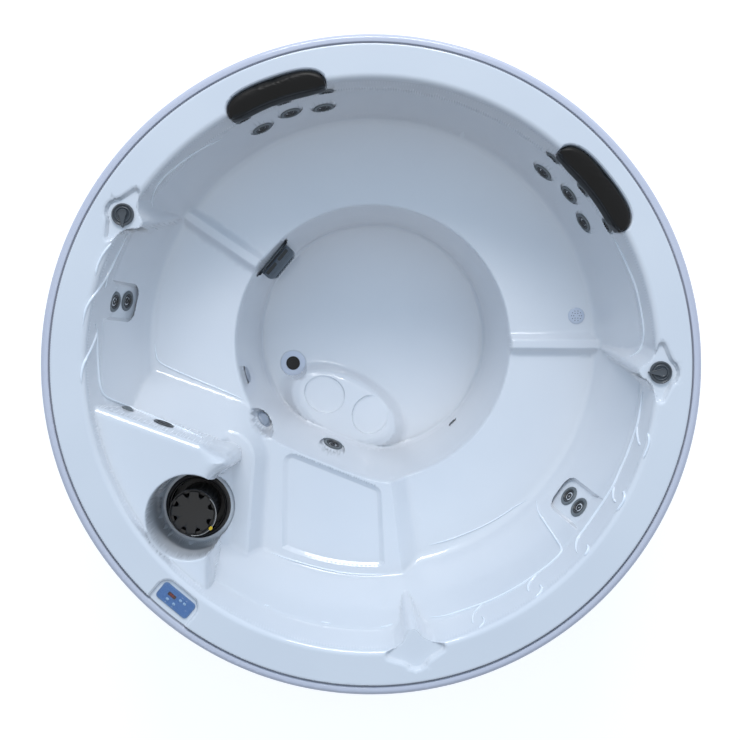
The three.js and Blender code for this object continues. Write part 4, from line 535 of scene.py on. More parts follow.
def shell_points():
    rows = []
    rows += circle_rows((0, 0), [984, 976, 969, 966.4, 965.4, 964.2, 963, 961.4, 960.6, 959.6, 957.5, 953], 8)
    rows += circle_rows((0, 0), [900, 874, 871, 868, 865, 862, 859.5, 857.2, 855.2, 853.6, 852.4], 9)
    rows += circle_rows((0, 2), [849.5, 845.5, 841.5], 9)
    rows += circle_rows((0, 10), [838, 835.6, 834.2, 833.2, 832.2, 831, 829.8, 828.6, 827, 824], 8)
    for s in np.linspace(0.05, 1.0, 13):
        rows += circle_rows((5 * s, 10 + 44 * s), [826 - 93 * s], 13)
    rows += circle_rows(WELL, [722, 712, 702, 690], 14)
    well = [WELL + min(WELL_R, CHORD / max(1e-6, math.cos(a - CHORD_TURN))
                       if math.cos(a - CHORD_TURN) > 0 else WELL_R) * unit(a)
            for a in np.linspace(0, TURN, 200, endpoint=False)]
    rows += outline_rows(well, [18, 12, 7, 3, 0, -2.5, -5, -8, -14, -22, -30, -38, -44, -50, -56, -64, -74], 9)
    for name, (_, rib) in PODS.items():
        if name != "front":
            out = unit(math.radians(rib))
            side = np.array([-out[1], out[0]])
            for off in (0, 6, 10, 14, 19, 25, 32):
                for sign in ((1, -1) if off else (1,)):
                    along = np.arange(448, 735, 9)
                    rows.append(WELL + along[:, None] * out + sign * off * side)
    rows += outline_rows(front_outline(), [-14, -9, -5, 0, 5, 14, 30, 48, 60], 9)
    rows += outline_rows(dish_outline(), [-22, -16, -12, -8, -4, 0, 3, 6, 10], 7)
    rows += outline_rows(filter_deck_outline(), [-20, -13, -8, -3, 1, 6, 14, 26, 37, 48, 62, 75], 10)
    rows += outline_rows(shelf_outline(), [-52, -46, -40, -34, -28, -22, -17, -12, -8, -5, -3, -1, 1, 2.5, 4, 5.5, 7,
                                           9, 11, 16, 24], 6)
    rows += outline_rows(shelf_foot(), [-3, 0, 4, 12, 30, 60, 95, 130], 9)
    for name, (pod, rib) in PODS.items():
        rows += outline_rows(star(name), [-9, -5, -3, -1, 1, 3, 5, 7, 9, 11, 14], 4)
        turn, ribturn = math.radians(pod), math.radians(rib)
        lean = (SEAT_R - 22) * unit(ribturn) + WELL - (POD_R - 82) * unit(turn)
        lean *= min(1, 92 / np.linalg.norm(lean))
        for s in np.linspace(0.08, 1, 9):
            rows += [r + s * lean for r in outline_rows(star(name), [-2, 2, 8], 9)]
    oval = np.column_stack([np.cos(np.linspace(0, TURN, 110)), np.sin(np.linspace(0, TURN, 110))])[:-1]
    for s in (0.66, 0.72, 0.78, 0.84, 0.9, 0.96, 1.0, 1.05, 1.12):
        rows.append(MOUND + rotate(oval * MOUND_OVAL * s, MOUND_TURN))
    rows += circle_rows(DRAIN_SPOT, [30, 40, 44, 46, 49, 53, 58], 6)
    for x, y, lx, ly in FOOT_PADS:
        for s in (0.8, 0.88, 0.93, 0.97, 1.0, 1.04, 1.1):
            rows.append(MOUND + rotate(oval * (lx * s, ly * s) + (x, y), MOUND_TURN))
    for turn in PILLOW_TURNS.values():
        rows += outline_rows(pillow_pocket(turn, *PILLOW_RECESS), [-9, -5, -2, -0.5, 0.8, 2.2, 4, 6, 9], 5)
    rows += [from_control(r) for r in outline_rows(NOTCH, [-4, -2, -0.5, 1, 2.5, 4, 6, 9], 4)]
    for name, (size, b) in WALL_JETS.items():
        count = 40 if size > 30 else 34
        r = size + 9
        rows += plane_rows(b, [pad_circle(q, h, count) for q, h in
                               ((0.3 * r, 0), (0.6 * r, 0), (0.8 * r, 0), (r - 6, 0.3), (r - 3, 2.5), (r - 1, 4.3),
                                (r + 1, 6), (r + 4, 6), (r + 9, 6))])
    for b in SIDE_PANELS:
        rows += plane_rows(b, [pad_box(61 - i, 112 - i, max(36 - i, 4), h, 6) for i, h in
                               ((44, -14), (28, -14), (14, -14), (10, -13.8), (8, -12.4), (6, -9.5), (4, -6.5),
                                (2, -3.5), (0, 0), (-2, 1), (-5, 1), (-9, 1))])
        top = np.column_stack([np.linspace(-62, 62, 28), np.full(28, 112), np.full(28, -10)])
        rows += plane_rows(b, [top - (0, i, 0) for i in (-16, -10, -4, 0, 4, 8, 12, 18)])
    for b, r in ((LIGHT, 38), (COVER_PAD, 34), (RETURN_PAD, 21)):
        rows += plane_rows(b, [pad_circle(q, h, 30) for q, h in
                               ((0.5 * r, 0), (r - 6, 0), (r - 2, 3), (r, 5), (r + 3, 6), (r + 8, 6))])
    rows += plane_rows(SUCTION_PAD, [pad_box(75 - i, 64 - i, max(10 - i, 2), h, 8) for i, h in
                                 ((30, 0), (12, 0), (5, 0), (2, 3), (0, 5), (-3, 6), (-9, 6))])
    rows += circle_rows(FILTER, [100, 104, 108, 111, 113.5, 115.5, 117, 118.2, 119.6, 122, 125, 127.4, 129, 130.4,
                                 132, 134, 137, 142, 148], 6)
    return rows


def thin_out(points, gap, kept=()):
    """Keeps points that have no earlier point within gap, by a grid of cells."""
    cells, out = {}, []
    for p in kept:
        cells[(int(p[0] // gap), int(p[1] // gap))] = p
    for p in points:
        key = (int(p[0] // gap), int(p[1] // gap))
        near = (cells.get((key[0] + i, key[1] + j)) for i in (-1, 0, 1) for j in (-1, 0, 1))
        if any(q is not None and (q[0] - p[0]) ** 2 + (q[1] - p[1]) ** 2 < gap * gap for q in near):
            continue
        cells[key] = p
        out.append(p)
    return np.array(out)


def shell_mesh():
    """The whole shell as one closed mesh: the moulded face, its back 7 mm behind, and the turned-down rim."""
    count = 540
    rim_turns = np.arange(count) * TURN / count
    ring = lambda r: np.column_stack([r * np.cos(rim_turns), r * np.sin(rim_turns)])
    hole_turns = np.arange(96) * TURN / 96
    hole = FILTER + FILTER_BORE * np.column_stack([np.cos(hole_turns), np.sin(hole_turns)])
    loops = np.vstack([ring(982), hole])
    inside = lambda p: (np.hypot(*p.T) < 981) & (np.hypot(*(p - FILTER).T) > 98.5)
    rows = np.vstack(shell_points())
    rows = thin_out(rows[inside(rows)], 1.15)
    gx, gy = np.meshgrid(np.arange(-980, 981, 17.0), np.arange(-980, 981, 14.7))
    gx[1::2] += 8.5
    loose = np.column_stack([gx.ravel(), gy.ravel()])
    loose = loose[inside(loose)]
    tree = KDTree(len(rows))
    for i, p in enumerate(rows):
        tree.insert((*p, 0), i)
    tree.balance()
    far = np.array([tree.find((*p, 0))[2] > 8 for p in loose])
    face = np.vstack([loops, rows, loose[far]])
    depth = field(face)
    back = np.vstack([loops, thin_out(np.vstack([rows[::3], loose]), 12)])
    under = field(back) + SHEET
    tree = KDTree(len(face))
    for i, p in enumerate(face):
        tree.insert((*p, 0), i)
    tree.balance()
    for i, p in enumerate(back):
        for _, j, gap in tree.find_range((*p, 0), 9):
            under[i] = max(under[i], depth[j] + math.sqrt(81 - gap * gap) - 2)
    under[:count] = 10 + SHEET
    faces_top = triangles(face, count)
    faces_back = triangles(back, count)
    verts = [np.column_stack([face, RIM - depth])]
    tops, start = faces_top, len(face)
    verts.append(np.column_stack([back, RIM - under]))
    backs = faces_back[:, ::-1] + start
    quads = []
    for i in range(96):
        a, b = count + i, count + (i + 1) % 96
        quads.append((b, a, a + start, b + start))
    rings = [(984.6, 10.4), (986.8, 11.6), (988.5, 13.3), (989.6, 15.6), (990, 18.4), (990, 34), (990, 53.5),
             (989.4, 55.4), (987.6, 56), (985, 56), (983.4, 55.4), (983, 53.5), (983, 36), (983, 19)]
    base = start + len(back)
    for r, d in rings:
        verts.append(np.column_stack([ring(r), np.full(count, RIM - d)]))
    last = list(range(count))
    for i in range(len(rings) + 1):
        row = [base + i * count + j for j in range(count)] if i < len(rings) else list(range(start, start + count))
        quads += [(last[j], row[j], row[(j + 1) % count], last[(j + 1) % count]) for j in range(count)]
        last = row
    return np.vstack(verts), tops, backs, quads, face, depth


def triangles(points, count):
    """Triangles between plan points; the first two loops bound them, outside and round the filter hole."""
    edges = [(i, (i + 1) % count) for i in range(count)]
    edges += [(count + i, count + (i + 1) % 96) for i in range(96)]
    _, _, faces, *_ = delaunay_2d_cdt([Vector(p) for p in points.tolist()], edges, [], 0, 1e-7)
    faces = np.array(faces)
    a, b, c = (points[faces[:, i]] for i in range(3))
    middle = (a + b + c) / 3
    in_hole = ((faces >= count) & (faces < count + 96)).all(1)
    keep = ~in_hole & (np.hypot(*(middle - FILTER).T) > 90)
    faces, a, b, c = faces[keep], a[keep], b[keep], c[keep]
    turns = (b[:, 0] - a[:, 0]) * (c[:, 1] - a[:, 1]) - (b[:, 1] - a[:, 1]) * (c[:, 0] - a[:, 0])
    faces[turns < 0] = faces[turns < 0][:, ::-1]
    return faces[np.abs(turns) > 1e-9]


def linked(name, mesh):
    """An object of a mesh, in the scene."""
    made = bpy.data.objects.new(name, mesh)
    bpy.context.scene.collection.objects.link(made)
    return made


class Shade:
    """A socket of a node tree, on which Python's arithmetic adds Math nodes."""

    def __init__(self, tree, socket):
        self.tree, self.socket = tree, socket

    def math(self, operation, first, second):
        return add(self.tree, "ShaderNodeMath", {0: first, 1: second}, operation=operation)

    def __add__(self, other):
        return self.math("ADD", self, other)

    def __sub__(self, other):
        return self.math("SUBTRACT", self, other)

    def __rsub__(self, other):
        return self.math("SUBTRACT", other, self)

    def __mul__(self, other):
        return self.math("MULTIPLY", self, other)

    def __truediv__(self, other):
        return self.math("DIVIDE", self, other)

    def __rtruediv__(self, other):
        return self.math("DIVIDE", other, self)

    def __pow__(self, other):
        return self.math("POWER", self, other)

    def __rpow__(self, other):
        return self.math("POWER", other, self)

    __radd__, __rmul__ = __add__, __mul__

    def or_more(self, other):
        return self.math("MAXIMUM", self, other)


def add(tree, kind, inputs=None, output=0, stops=(), **settings):
    """Adds a node: its settings and its ramp's stops, then the values or links of its sockets. Gives one output."""
    made = tree.nodes.new(kind)
    for key, value in settings.items():
        setattr(made, key, value)
    for position, _ in stops[1:-1]:
        made.color_ramp.elements.new(position)
    for i, (position, color) in enumerate(stops):
        element = made.color_ramp.elements[i]
        element.position, element.color = position, (*linear(color), 1)
    for key, value in (inputs or {}).items():
        if isinstance(value, Shade):
            tree.links.new(value.socket, made.inputs[key])
        else:
            made.inputs[key].default_value = value
    return Shade(tree, made.outputs[output])


def linear(color):
    return [c / 12.92 if c <= 0.04045 else ((c + 0.055) / 1.055) ** 2.4 for c in color]


def material(name, color, roughness, metallic=0.0, **sockets):
    """A material whose constants stand on its shader's own sockets."""
    mat = bpy.data.materials.new(name)
    mat.use_nodes = True
    shader = mat.node_tree.nodes["Principled BSDF"]
    shader.inputs["Base Color"].default_value = (*linear(color), 1)
    shader.inputs["Roughness"].default_value = roughness
    shader.inputs["Metallic"].default_value = metallic
    for socket, value in sockets.items():
        shader.inputs[socket.replace("_", " ")].default_value = value
    mat.diffuse_color = (*linear(color), 1)
    return mat


def feed(mat, **links):
    """Links what changes over the surface to the sockets of a material's shader."""
    shader = mat.node_tree.nodes["Principled BSDF"]
    for socket, shade in links.items():
        mat.node_tree.links.new(shade.socket, shader.inputs[socket.replace("_", " ")])


def object_place(mat):
    return add(mat.node_tree, "ShaderNodeTexCoord", output="Object")


def cloud(mat, scale, detail=2.0, stretch=(1, 1, 1)):
    """Soft noise over a piece, from 0 to 1."""
    place = add(mat.node_tree, "ShaderNodeMapping", {"Vector": object_place(mat), "Scale": stretch}, "Vector")
    return add(mat.node_tree, "ShaderNodeTexNoise", {"Vector": place, "Scale": scale, "Detail": detail}, "Fac")


def toned(source, stops):
    """A colour by a value, through (value, colour) stops."""
    return add(source.tree, "ShaderNodeValToRGB", {"Fac": source}, "Color", stops)


def between(source, low, high):
    """A value from low to high, as the source goes from 0 to 1."""
    return low + (high - low) * source


def relief(source, strength, distance):
    """The slope of a fine surface that rises and falls with a value."""
    sizes = {"Height": source, "Strength": strength, "Distance": distance}
    return add(source.tree, "ShaderNodeBump", sizes, "Normal")


# The acrylic has a gloss coat over a pale body with the faintest cloud.
# A painted shade darkens the narrow groove between deck and ledge, and the ledge outside it is tinted lavender grey.
acrylic = material("acrylic", (0.88, 0.882, 0.893), 0.16, Coat_Weight=0.6, Coat_Roughness=0.03, IOR=1.49)
place = object_place(acrylic)
x, y = (add(acrylic.node_tree, "ShaderNodeSeparateXYZ", {"Vector": place}, axis) for axis in "XY")
across = ((x * x + y * y) ** 0.5 - 0.95) / 0.04
body_tone = toned(cloud(acrylic, 2.2, 3), [(0.35, (0.872, 0.875, 0.888)), (0.65, (0.888, 0.889, 0.898))])
# Painted shade: a dark ring in the groove between deck and ledge, then a lavender-grey tint over the outer ledge.
painted_groove_shade_and_ledge_tint = toned(across, [(0.20, (1, 1, 1)), (0.27, (0.70, 0.70, 0.73)), (0.36, (0.70, 0.70, 0.73)),
                           (0.43, (0.93, 0.925, 0.955)), (1.0, (0.89, 0.885, 0.93))])
feed(acrylic, Roughness=between(cloud(acrylic, 9, 5), 0.12, 0.22), Normal=relief(cloud(acrylic, 26), 0.12, 0.0006),
     Base_Color=add(acrylic.node_tree, "ShaderNodeMix", {"Factor": 1.0, 6: body_tone, 7: painted_groove_shade_and_ledge_tint}, 2,
                    data_type="RGBA", blend_type="MULTIPLY"))


def build_shell():
    verts, tops, backs, quads, face, depth = shell_mesh()
    mesh = bpy.data.meshes.new("acrylic_shell")
    mesh.from_pydata((verts * MM).tolist(), [], tops.tolist() + backs.tolist() + quads)
    mesh.validate()
    mesh.materials.append(acrylic)
    mesh.shade_smooth()
    shell = linked("acrylic_shell", mesh)
    e = 0.3
    slope_x = (field(face + (e, 0)) - field(face - (e, 0))) / (2 * e)
    slope_y = (field(face + (0, e)) - field(face - (0, e))) / (2 * e)
    shell.data.update()
    flat = np.zeros(len(verts) * 3)
    shell.data.vertices.foreach_get("normal", flat)
    normals = flat.reshape(-1, 3).copy()
    exact = np.column_stack([slope_x, slope_y, np.ones(len(face))])
    exact /= np.linalg.norm(exact, axis=1)[:, None]
    inner = np.hypot(*face.T) < 980
    normals[:len(face)][inner] = exact[inner]
    shell.data.normals_split_custom_set_from_vertices([tuple(n) for n in normals])
    return shell


shell = build_shell()
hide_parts("tub_shell")
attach(shell, "tub")


# The jets are injection-moulded grey plastic faces pressed into cups behind the shell: a rolled flange, a groove, a
# ring of scallops and a dark swivelling eye in the middle. Each body below is a closed bmesh in millimetres.
def turned(profile, count=48, ring=False):
    """A body spun about z from (radius, height) rows; either may be an array of one value for each step."""
    body = bmesh.new()
    row_of = body.verts.layers.int.new("row")
    rows = [np.broadcast_arrays(r, z, np.zeros(count))[:2] for r, z in profile]
    line = []
    for number, (r, z) in enumerate(rows):
        line.append(body.verts.new((r[0], 0, z[0])))
        line[-1][row_of] = number
    edges = [body.edges.new(pair) for pair in zip(line, line[1:] + line[:1] if ring else line[1:])]
    bmesh.ops.spin(body, geom=line + edges, cent=(0, 0, 0), axis=(0, 0, 1), angle=TURN, steps=count, use_merge=True)
    for corner in body.verts:
        r, z = rows[corner[row_of]]
        turn = math.atan2(corner.co.y, corner.co.x)
        step = round(turn / TURN * count) % count
        corner.co = (r[step] * math.cos(turn), r[step] * math.sin(turn), z[step])
    body.verts.layers.int.remove(row_of)
    bmesh.ops.remove_doubles(body, verts=body.verts, dist=1e-4)
    bmesh.ops.recalc_face_normals(body, faces=body.faces)
    return body


def lofted(rings):
    """A body through rings of points: the first ring's face is extruded to each ring in turn."""
    body = bmesh.new()
    number = body.verts.layers.int.new("number")
    corners = [body.verts.new(p) for p in rings[0]]
    for i, corner in enumerate(corners):
        corner[number] = i
    end = body.faces.new(corners)
    for level, ring in enumerate(rings[1:]):
        grown = bmesh.ops.extrude_face_region(body, geom=[end])["geom"]
        if level:
            bmesh.ops.delete(body, geom=[end], context="FACES_ONLY")
        end = next(part for part in grown if isinstance(part, bmesh.types.BMFace))
        for corner in end.verts:
            corner.co = ring[corner[number]]
    body.verts.layers.int.remove(number)
    bmesh.ops.recalc_face_normals(body, faces=body.faces)
    return body


def plate(outline, levels, spacing=4):
    """A flat body on an outline: each level is (inset, height), from the bottom up."""
    rows = outline_rows(outline, [-inset for inset, _ in levels], spacing)
    return lofted([np.column_stack([row, np.full(len(row), h)]) for row, (_, h) in zip(rows, levels)])


def swept(path, radius, sides=10, loop=False):
    """A round bar along a path; radius is one value or one for each point."""
    path = np.asarray(path, float)
    radius = np.broadcast_to(radius, len(path))
    if loop:
        ahead = np.roll(path, -1, 0) - np.roll(path, 1, 0)
    else:
        ahead = np.gradient(path, axis=0)
    ahead /= np.linalg.norm(ahead, axis=1)[:, None]
    across = np.cross(ahead[0], (0, 0, 1) if abs(ahead[0][2]) < 0.9 else (1, 0, 0))
    a = np.arange(sides) * TURN / sides
    rings = []
    for p, t, r in zip(path, ahead, radius):
        across = across - t * (across @ t)
        across /= np.linalg.norm(across)
        up = np.cross(t, across)
        rings.append(p + r * (np.cos(a)[:, None] * across + np.sin(a)[:, None] * up))
    if not loop:
        return lofted(rings)
    body = lofted(rings + rings[:1])
    ends = [face for face in body.faces if len(face.verts) == sides]
    bmesh.ops.delete(body, geom=ends, context="FACES_ONLY")
    bmesh.ops.remove_doubles(body, verts=body.verts, dist=1e-4)
    return body


def moved(body, x, y, z):
    bmesh.ops.translate(body, vec=(x, y, z), verts=body.verts)
    return body


def spun(body, degrees, x=0.0, y=0.0, z=0.0):
    """Turns a body about z, then moves it."""
    turn = Matrix.Rotation(math.radians(degrees), 3, "Z")
    bmesh.ops.rotate(body, cent=(0, 0, 0), matrix=turn, verts=body.verts)
    return moved(body, x, y, z)


def placed(body, b):
    """Sets a body into a place, given by its three directions and its origin."""
    bmesh.ops.transform(body, matrix=Matrix([*b.tolist(), (0, 0, 0, 1)]), verts=body.verts)
    return body


def slot_outline(length, width, steps=10):
    """A long outline with round ends."""
    r = width / 2
    a = np.linspace(-math.pi / 2, math.pi / 2, steps + 1)
    right = np.column_stack([length / 2 - r + r * np.cos(a), r * np.sin(a)])
    return np.vstack([right, -right])


def joined(name, parts, mats, smooth=True):
    """One object in metres from (body, material number) parts."""
    mesh, whole = bpy.data.meshes.new(name), bmesh.new()
    for body, mark in parts:
        for face in body.faces:
            face.material_index, face.smooth = mark, smooth
        body.to_mesh(mesh)
        body.free()
        whole.from_mesh(mesh)
    bmesh.ops.scale(whole, vec=(MM, MM, MM), verts=whole.verts)
    whole.to_mesh(mesh)
    whole.free()
    for mat in mats:
        mesh.materials.append(mat)
    return linked(name, mesh)


def piece(name, parts, mats, rides="tub", stands_for=(), sharp=35):
    """A joined object, creased by angle, that rides on a CAD body and stands for the CAD's own solids."""
    made = joined(name, parts, mats)
    made.data.set_sharp_from_angle(angle=math.radians(sharp))
    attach(made, rides)
    if stands_for:
        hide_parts(*stands_for)
    return made


def moulded(name, color, other, roughness, spread=0.08, grain=900, depth=0.0001, metallic=0.0, **sockets):
    """A moulded or painted finish: cloudy colour, uneven gloss and a fine surface grain."""
    mat = material(name, color, roughness, metallic, **sockets)
    uneven = cloud(mat, 14, 4)
    feed(mat, Base_Color=toned(uneven, [(0.3, color), (0.72, other)]),
         Roughness=between(uneven, max(0.02, roughness - spread), roughness + spread),
         Normal=relief(cloud(mat, grain, 3), 0.25, depth))
    return mat


jet_grey = moulded("jet_grey", (0.44, 0.46, 0.47), (0.37, 0.39, 0.40), 0.34, grain=1500)
jet_dark = moulded("jet_dark", (0.24, 0.25, 0.26), (0.17, 0.18, 0.19), 0.38, grain=1500)
hole_dark = moulded("hole_dark", (0.05, 0.05, 0.055), (0.03, 0.03, 0.035), 0.5, grain=900)
knob_grey = moulded("knob_grey", (0.31, 0.33, 0.35), (0.25, 0.27, 0.29), 0.3, grain=1800)
black_plastic = moulded("black_plastic", (0.045, 0.05, 0.06), (0.07, 0.075, 0.085), 0.32, grain=1300)
pale_plastic = moulded("pale_plastic", (0.80, 0.82, 0.84), (0.75, 0.77, 0.80), 0.4, grain=1100)
white_pipe = moulded("white_pipe", (0.88, 0.88, 0.87), (0.82, 0.82, 0.80), 0.42, grain=700)


def jet_parts(size):
    """A jet's flange, ring of scallops, back, eye and pin, for a flange of this radius."""
    count = 96
    a = np.arange(count) * TURN / count
    lobes = np.abs(np.sin(6 * a))
    s = size / 33
    flange = turned([(17, 0.35), (size - 0.8, 0.35), (size, 1.2), (size - 0.3, 2.6), (size - 1.4, 3.9),
                     (size - 3.4, 4.8), (size - 6 * s, 5.1), (size - 8.5 * s, 4.8), (size - 9.4 * s, 4.1),
                     (size - 10 * s, 3.1), (17, 3.0)], count, ring=True)
    scallops = turned([(16.5 * s, 1.4), (22.6 * s, 1.4), (22.6 * s, 3.4 + 0.4 * lobes), (21.4 * s, 4.3 + 0.7 * lobes),
                       (19.6 * s, 4.6 + 0.5 * lobes), (17.6 * s + 0.9 * lobes * s, 3.9),
                       (16 * s + 0.6 * lobes * s, 2.2)], count, ring=True)
    back = turned([(0, -36), (16.2, -36), (17, -34.6), (17, 0.3), (16.8, 1.6), (15.2 * s, 1.3), (13.6 * s, 0.2),
                   (12.4 * s, -2.5), (0, -3)], 48)
    eye = turned([(0, -2.8), (9.6 * s, -2.8), (10.2 * s, -0.4), (9.8 * s, 1.8), (8.2 * s, 3.2), (6.2 * s, 3.5),
                  (5.0 * s, 2.6), (4.4 * s, 0.2), (0, -0.2)], 36)
    pin = spun(turned([(0, -2.7), (1.7 * s, -2.7), (1.7 * s, 2.6), (1.1 * s, 3.1), (0, 3.2)], 12), 0, 11.6 * s, 0)
    return [(flange, 0), (scallops, 1), (back, 2), (eye, 1), (pin, 0)]


for name, (size, b) in JETS.items():
    parts = [(placed(body, b), mark) for body, mark in jet_parts(size)]
    piece(name + "_face", parts, [jet_grey, jet_dark, hole_dark], name, [name])


# The vines, beads and creases on the upper band are raised strands, 4 to 9 mm wide, that the mould leaves. They are
# made in a whiter, glossier copy of the shell's acrylic, a painted highlight, and dish_back and seat_back stand in for
# highlight lines along fillets. Each is named, with its radius and its course in pixels of the 740 by 740 view, and
# each is laid on the shell where the camera's line of sight meets it.
VINES = {
    "pod_side": (2.6, [(111, 243.5), (104, 252), (99.5, 260), (96.5, 268), (95.5, 275)]),
    "side_top": (2.8, [(127, 234), (119, 250), (113, 263), (108, 274), (101, 285.6), (93, 296), (87.2, 305),
                       (84.3, 313), (83, 324.6)]),
    "side_leaf": (2.2, [(108, 274), (106, 281), (104.6, 288)]),
    "side_crease": (2.8, [(95.3, 323.5), (97, 331), (96.6, 339.5), (97, 355.6), (97.9, 370.5), (99.3, 384.3),
                          (102, 393.5), (108, 398.2), (123, 404.3), (139, 411), (156, 418), (173.3, 425.6),
                          (190, 432.5), (203, 438)]),
    "side_low": (2.8, [(97, 331), (94.7, 339.5), (90.7, 348.7), (86.1, 357.9), (82.2, 367), (80.9, 376.3),
                       (81.3, 383.2)]),
    "back_left": (2.3, [(152.7, 207.3), (150.9, 200.6), (154.5, 188.5), (160, 180.5), (169, 171.5), (187.3, 157),
                        (203, 147.3), (222, 138.8)]),
    "back_right": (2.6, [(614, 238), (622.2, 253.3), (631.4, 273.7), (637.6, 290), (640.6, 305.3), (643.2, 318.6),
                         (644.6, 333), (642.7, 345.8), (639, 351.8), (634.2, 355.2), (630, 356.3)]),
    "corner_crease": (3.0, [(642.4, 392), (642.1, 398), (640.3, 412.4), (637.9, 424.5), (633, 439), (625.8, 458.5),
                            (618.5, 474.2), (613.6, 486.4), (602.7, 503.3), (592.6, 517.5), (585.7, 528),
                            (578.7, 536.5), (575.9, 543.5), (575.9, 550.5), (578, 553.3)]),
    "hook_1": (2.6, [(637.4, 426), (637.3, 434.2), (638.5, 441.5), (640.5, 445.2)]),
    "curl_1": (2.6, [(647.8, 433), (649.4, 437.9), (648.8, 445.2), (645.8, 452.4), (643.3, 458.5)]),
    "hook_2": (2.8, [(614.5, 486.4), (613, 493.6), (613.6, 499.7), (616, 502.1)]),
    "curl_2": (2.8, [(622.7, 491.2), (625.2, 493.6), (624.5, 499.7), (620.9, 505.8), (616.7, 511.2)]),
    "curl_3": (2.8, [(587.1, 544.9), (589.3, 547.7), (587.8, 551.9), (584.3, 556.1)]),
    "panel_edge": (2.6, [(536.8, 501), (537.3, 511.2), (547.9, 526.7), (556.3, 539.3), (562.8, 549.3), (560.5, 554),
                         (549.3, 564.5), (538, 573), (519.8, 585.6), (500.2, 596.1), (486.1, 602.4), (463.7, 610.1),
                         (444, 616.5), (430, 617.2)]),
    "hook_4": (2.6, [(537, 574.5), (530.3, 581.4), (527.5, 587), (528.9, 591.9)]),
    "curl_4": (2.6, [(539.4, 584.2), (542.7, 587.7), (540.8, 592.6), (535.2, 598.2)]),
    "hook_5": (2.2, [(482.5, 604), (474.2, 612.3), (472.1, 619.3), (473.5, 624.2)]),
    "curl_5": (2.2, [(481.9, 616.5), (485, 619.3), (484, 623.5), (479.1, 627.7)]),
    "dish_back": (2.0, [(270.9, 552.9), (284, 557.8), (298, 562), (316, 567), (334.7, 571.5), (348, 573.6),
                        (361, 574.5), (374, 574.7), (387.5, 574.5)]),
    "seat_back": (1.7, [(430, 544.9), (451, 539.3), (479.1, 528), (500.2, 516.8), (514.2, 507), (526.8, 500)]),
    "seat_side": (1.9, [(154.8, 344), (156, 354), (157.4, 361.5), (173, 369.4), (200, 381), (230, 393.5),
                        (243, 399.3)]),
    "front_left": (1.6, [(264, 604.5), (267, 606), (270, 607)]),
    "front_middle": (1.6, [(321, 621.8), (326, 623), (331, 623.6)]),
    "front_right": (1.6, [(380, 627.5), (387, 626), (393, 624)])}
VIEW_CENTRE = (371, 300)


def on_shell(pixels):
    """Where the camera's sight through these pixels first meets the shell, in millimetres, and the slope there."""
    spots, leans = [], []
    for u, v in pixels:
        sight = Vector(((u - VIEW_CENTRE[0]) / VIEW_SCALE, (VIEW_CENTRE[1] - v) / VIEW_SCALE, -1)).normalized()
        hit, spot, normal, _ = shell.ray_cast(camera.location, sight)
        if hit:
            spots.append(np.array(spot) / MM)
            leans.append(np.array(normal))
    return np.array(spots), np.array(leans)


def curved(points, rounds=3):
    """Rounds off a course of points by cutting its corners."""
    points = np.asarray(points, float)
    for _ in range(rounds):
        a, b = points[:-1], points[1:]
        cut = np.stack([0.75 * a + 0.25 * b, 0.25 * a + 0.75 * b], 1).reshape(-1, 2)
        points = np.vstack([points[:1], cut[1:-1], points[-1:]])
    return points


def evenly(path, step):
    """Sets points along a course at an even step."""
    reach = np.append(0, np.cumsum(np.linalg.norm(np.diff(path[:, :3], axis=0), axis=1)))
    places = np.linspace(0, reach[-1], max(6, int(reach[-1] / step)))
    return np.column_stack([np.interp(places, reach, path[:, i]) for i in range(path.shape[1])])


def settled(path, rounds=4):
    """Evens out small jolts along a course."""
    for _ in range(rounds):
        path[1:-1] = 0.5 * path[1:-1] + 0.25 * (path[:-2] + path[2:])
    return path


bpy.context.view_layer.update()
vine_parts = []
for radius, pixels in VINES.values():
    path = settled(evenly(np.hstack(on_shell(evenly(curved(pixels), 0.7))), 4))
    lean = path[:, 3:] / np.linalg.norm(path[:, 3:], axis=1)[:, None]
    s = np.linspace(0, 1, len(path))
    taper = np.minimum(1, 0.25 + 7 * np.minimum(s, 1 - s))
    vine_parts.append((swept(path[:, :3] + lean * (0.35 * radius), 1.5 * radius * taper, 12), 0))
# Painted highlight: a whiter, glossier copy of the shell's acrylic, so that the strands shine brighter than the shell.
painted_highlight_acrylic = moulded("painted_highlight_acrylic", (0.955, 0.965, 0.98), (0.93, 0.945, 0.965), 0.14, spread=0.04, grain=300,
                       Coat_Weight=0.8, Coat_Roughness=0.02)
piece("vines_and_painted_highlight_beads", vine_parts, [painted_highlight_acrylic], "tub")


# The two pillows are soft foam in black vinyl, pressed into recesses of the deck's edge. Each is a crowned form,
# swollen by a cloth simulation under pressure, with a seam and small puckers round its sides.
PILLOW_IN, PILLOW_OUT, PILLOW_HALF = 831.5, 903.5, 10.15
PILLOW_FOOT, PILLOW_CROWN, SEAM_DROP = 75.5, 15.5, 12
PILLOW_SECTION = [(0.04, -74), (0.01, -70), (0, -55), (0.07, -34), (0.17, -14), (0.29, 1), (0.43, 9.5), (0.58, 12),
                  (0.73, 10.5), (0.87, 6.5), (0.97, 1), (1.0, -7), (1.0, -35), (0.98, -66), (0.93, -73), (0.6, -74),
                  (0.3, -74)]


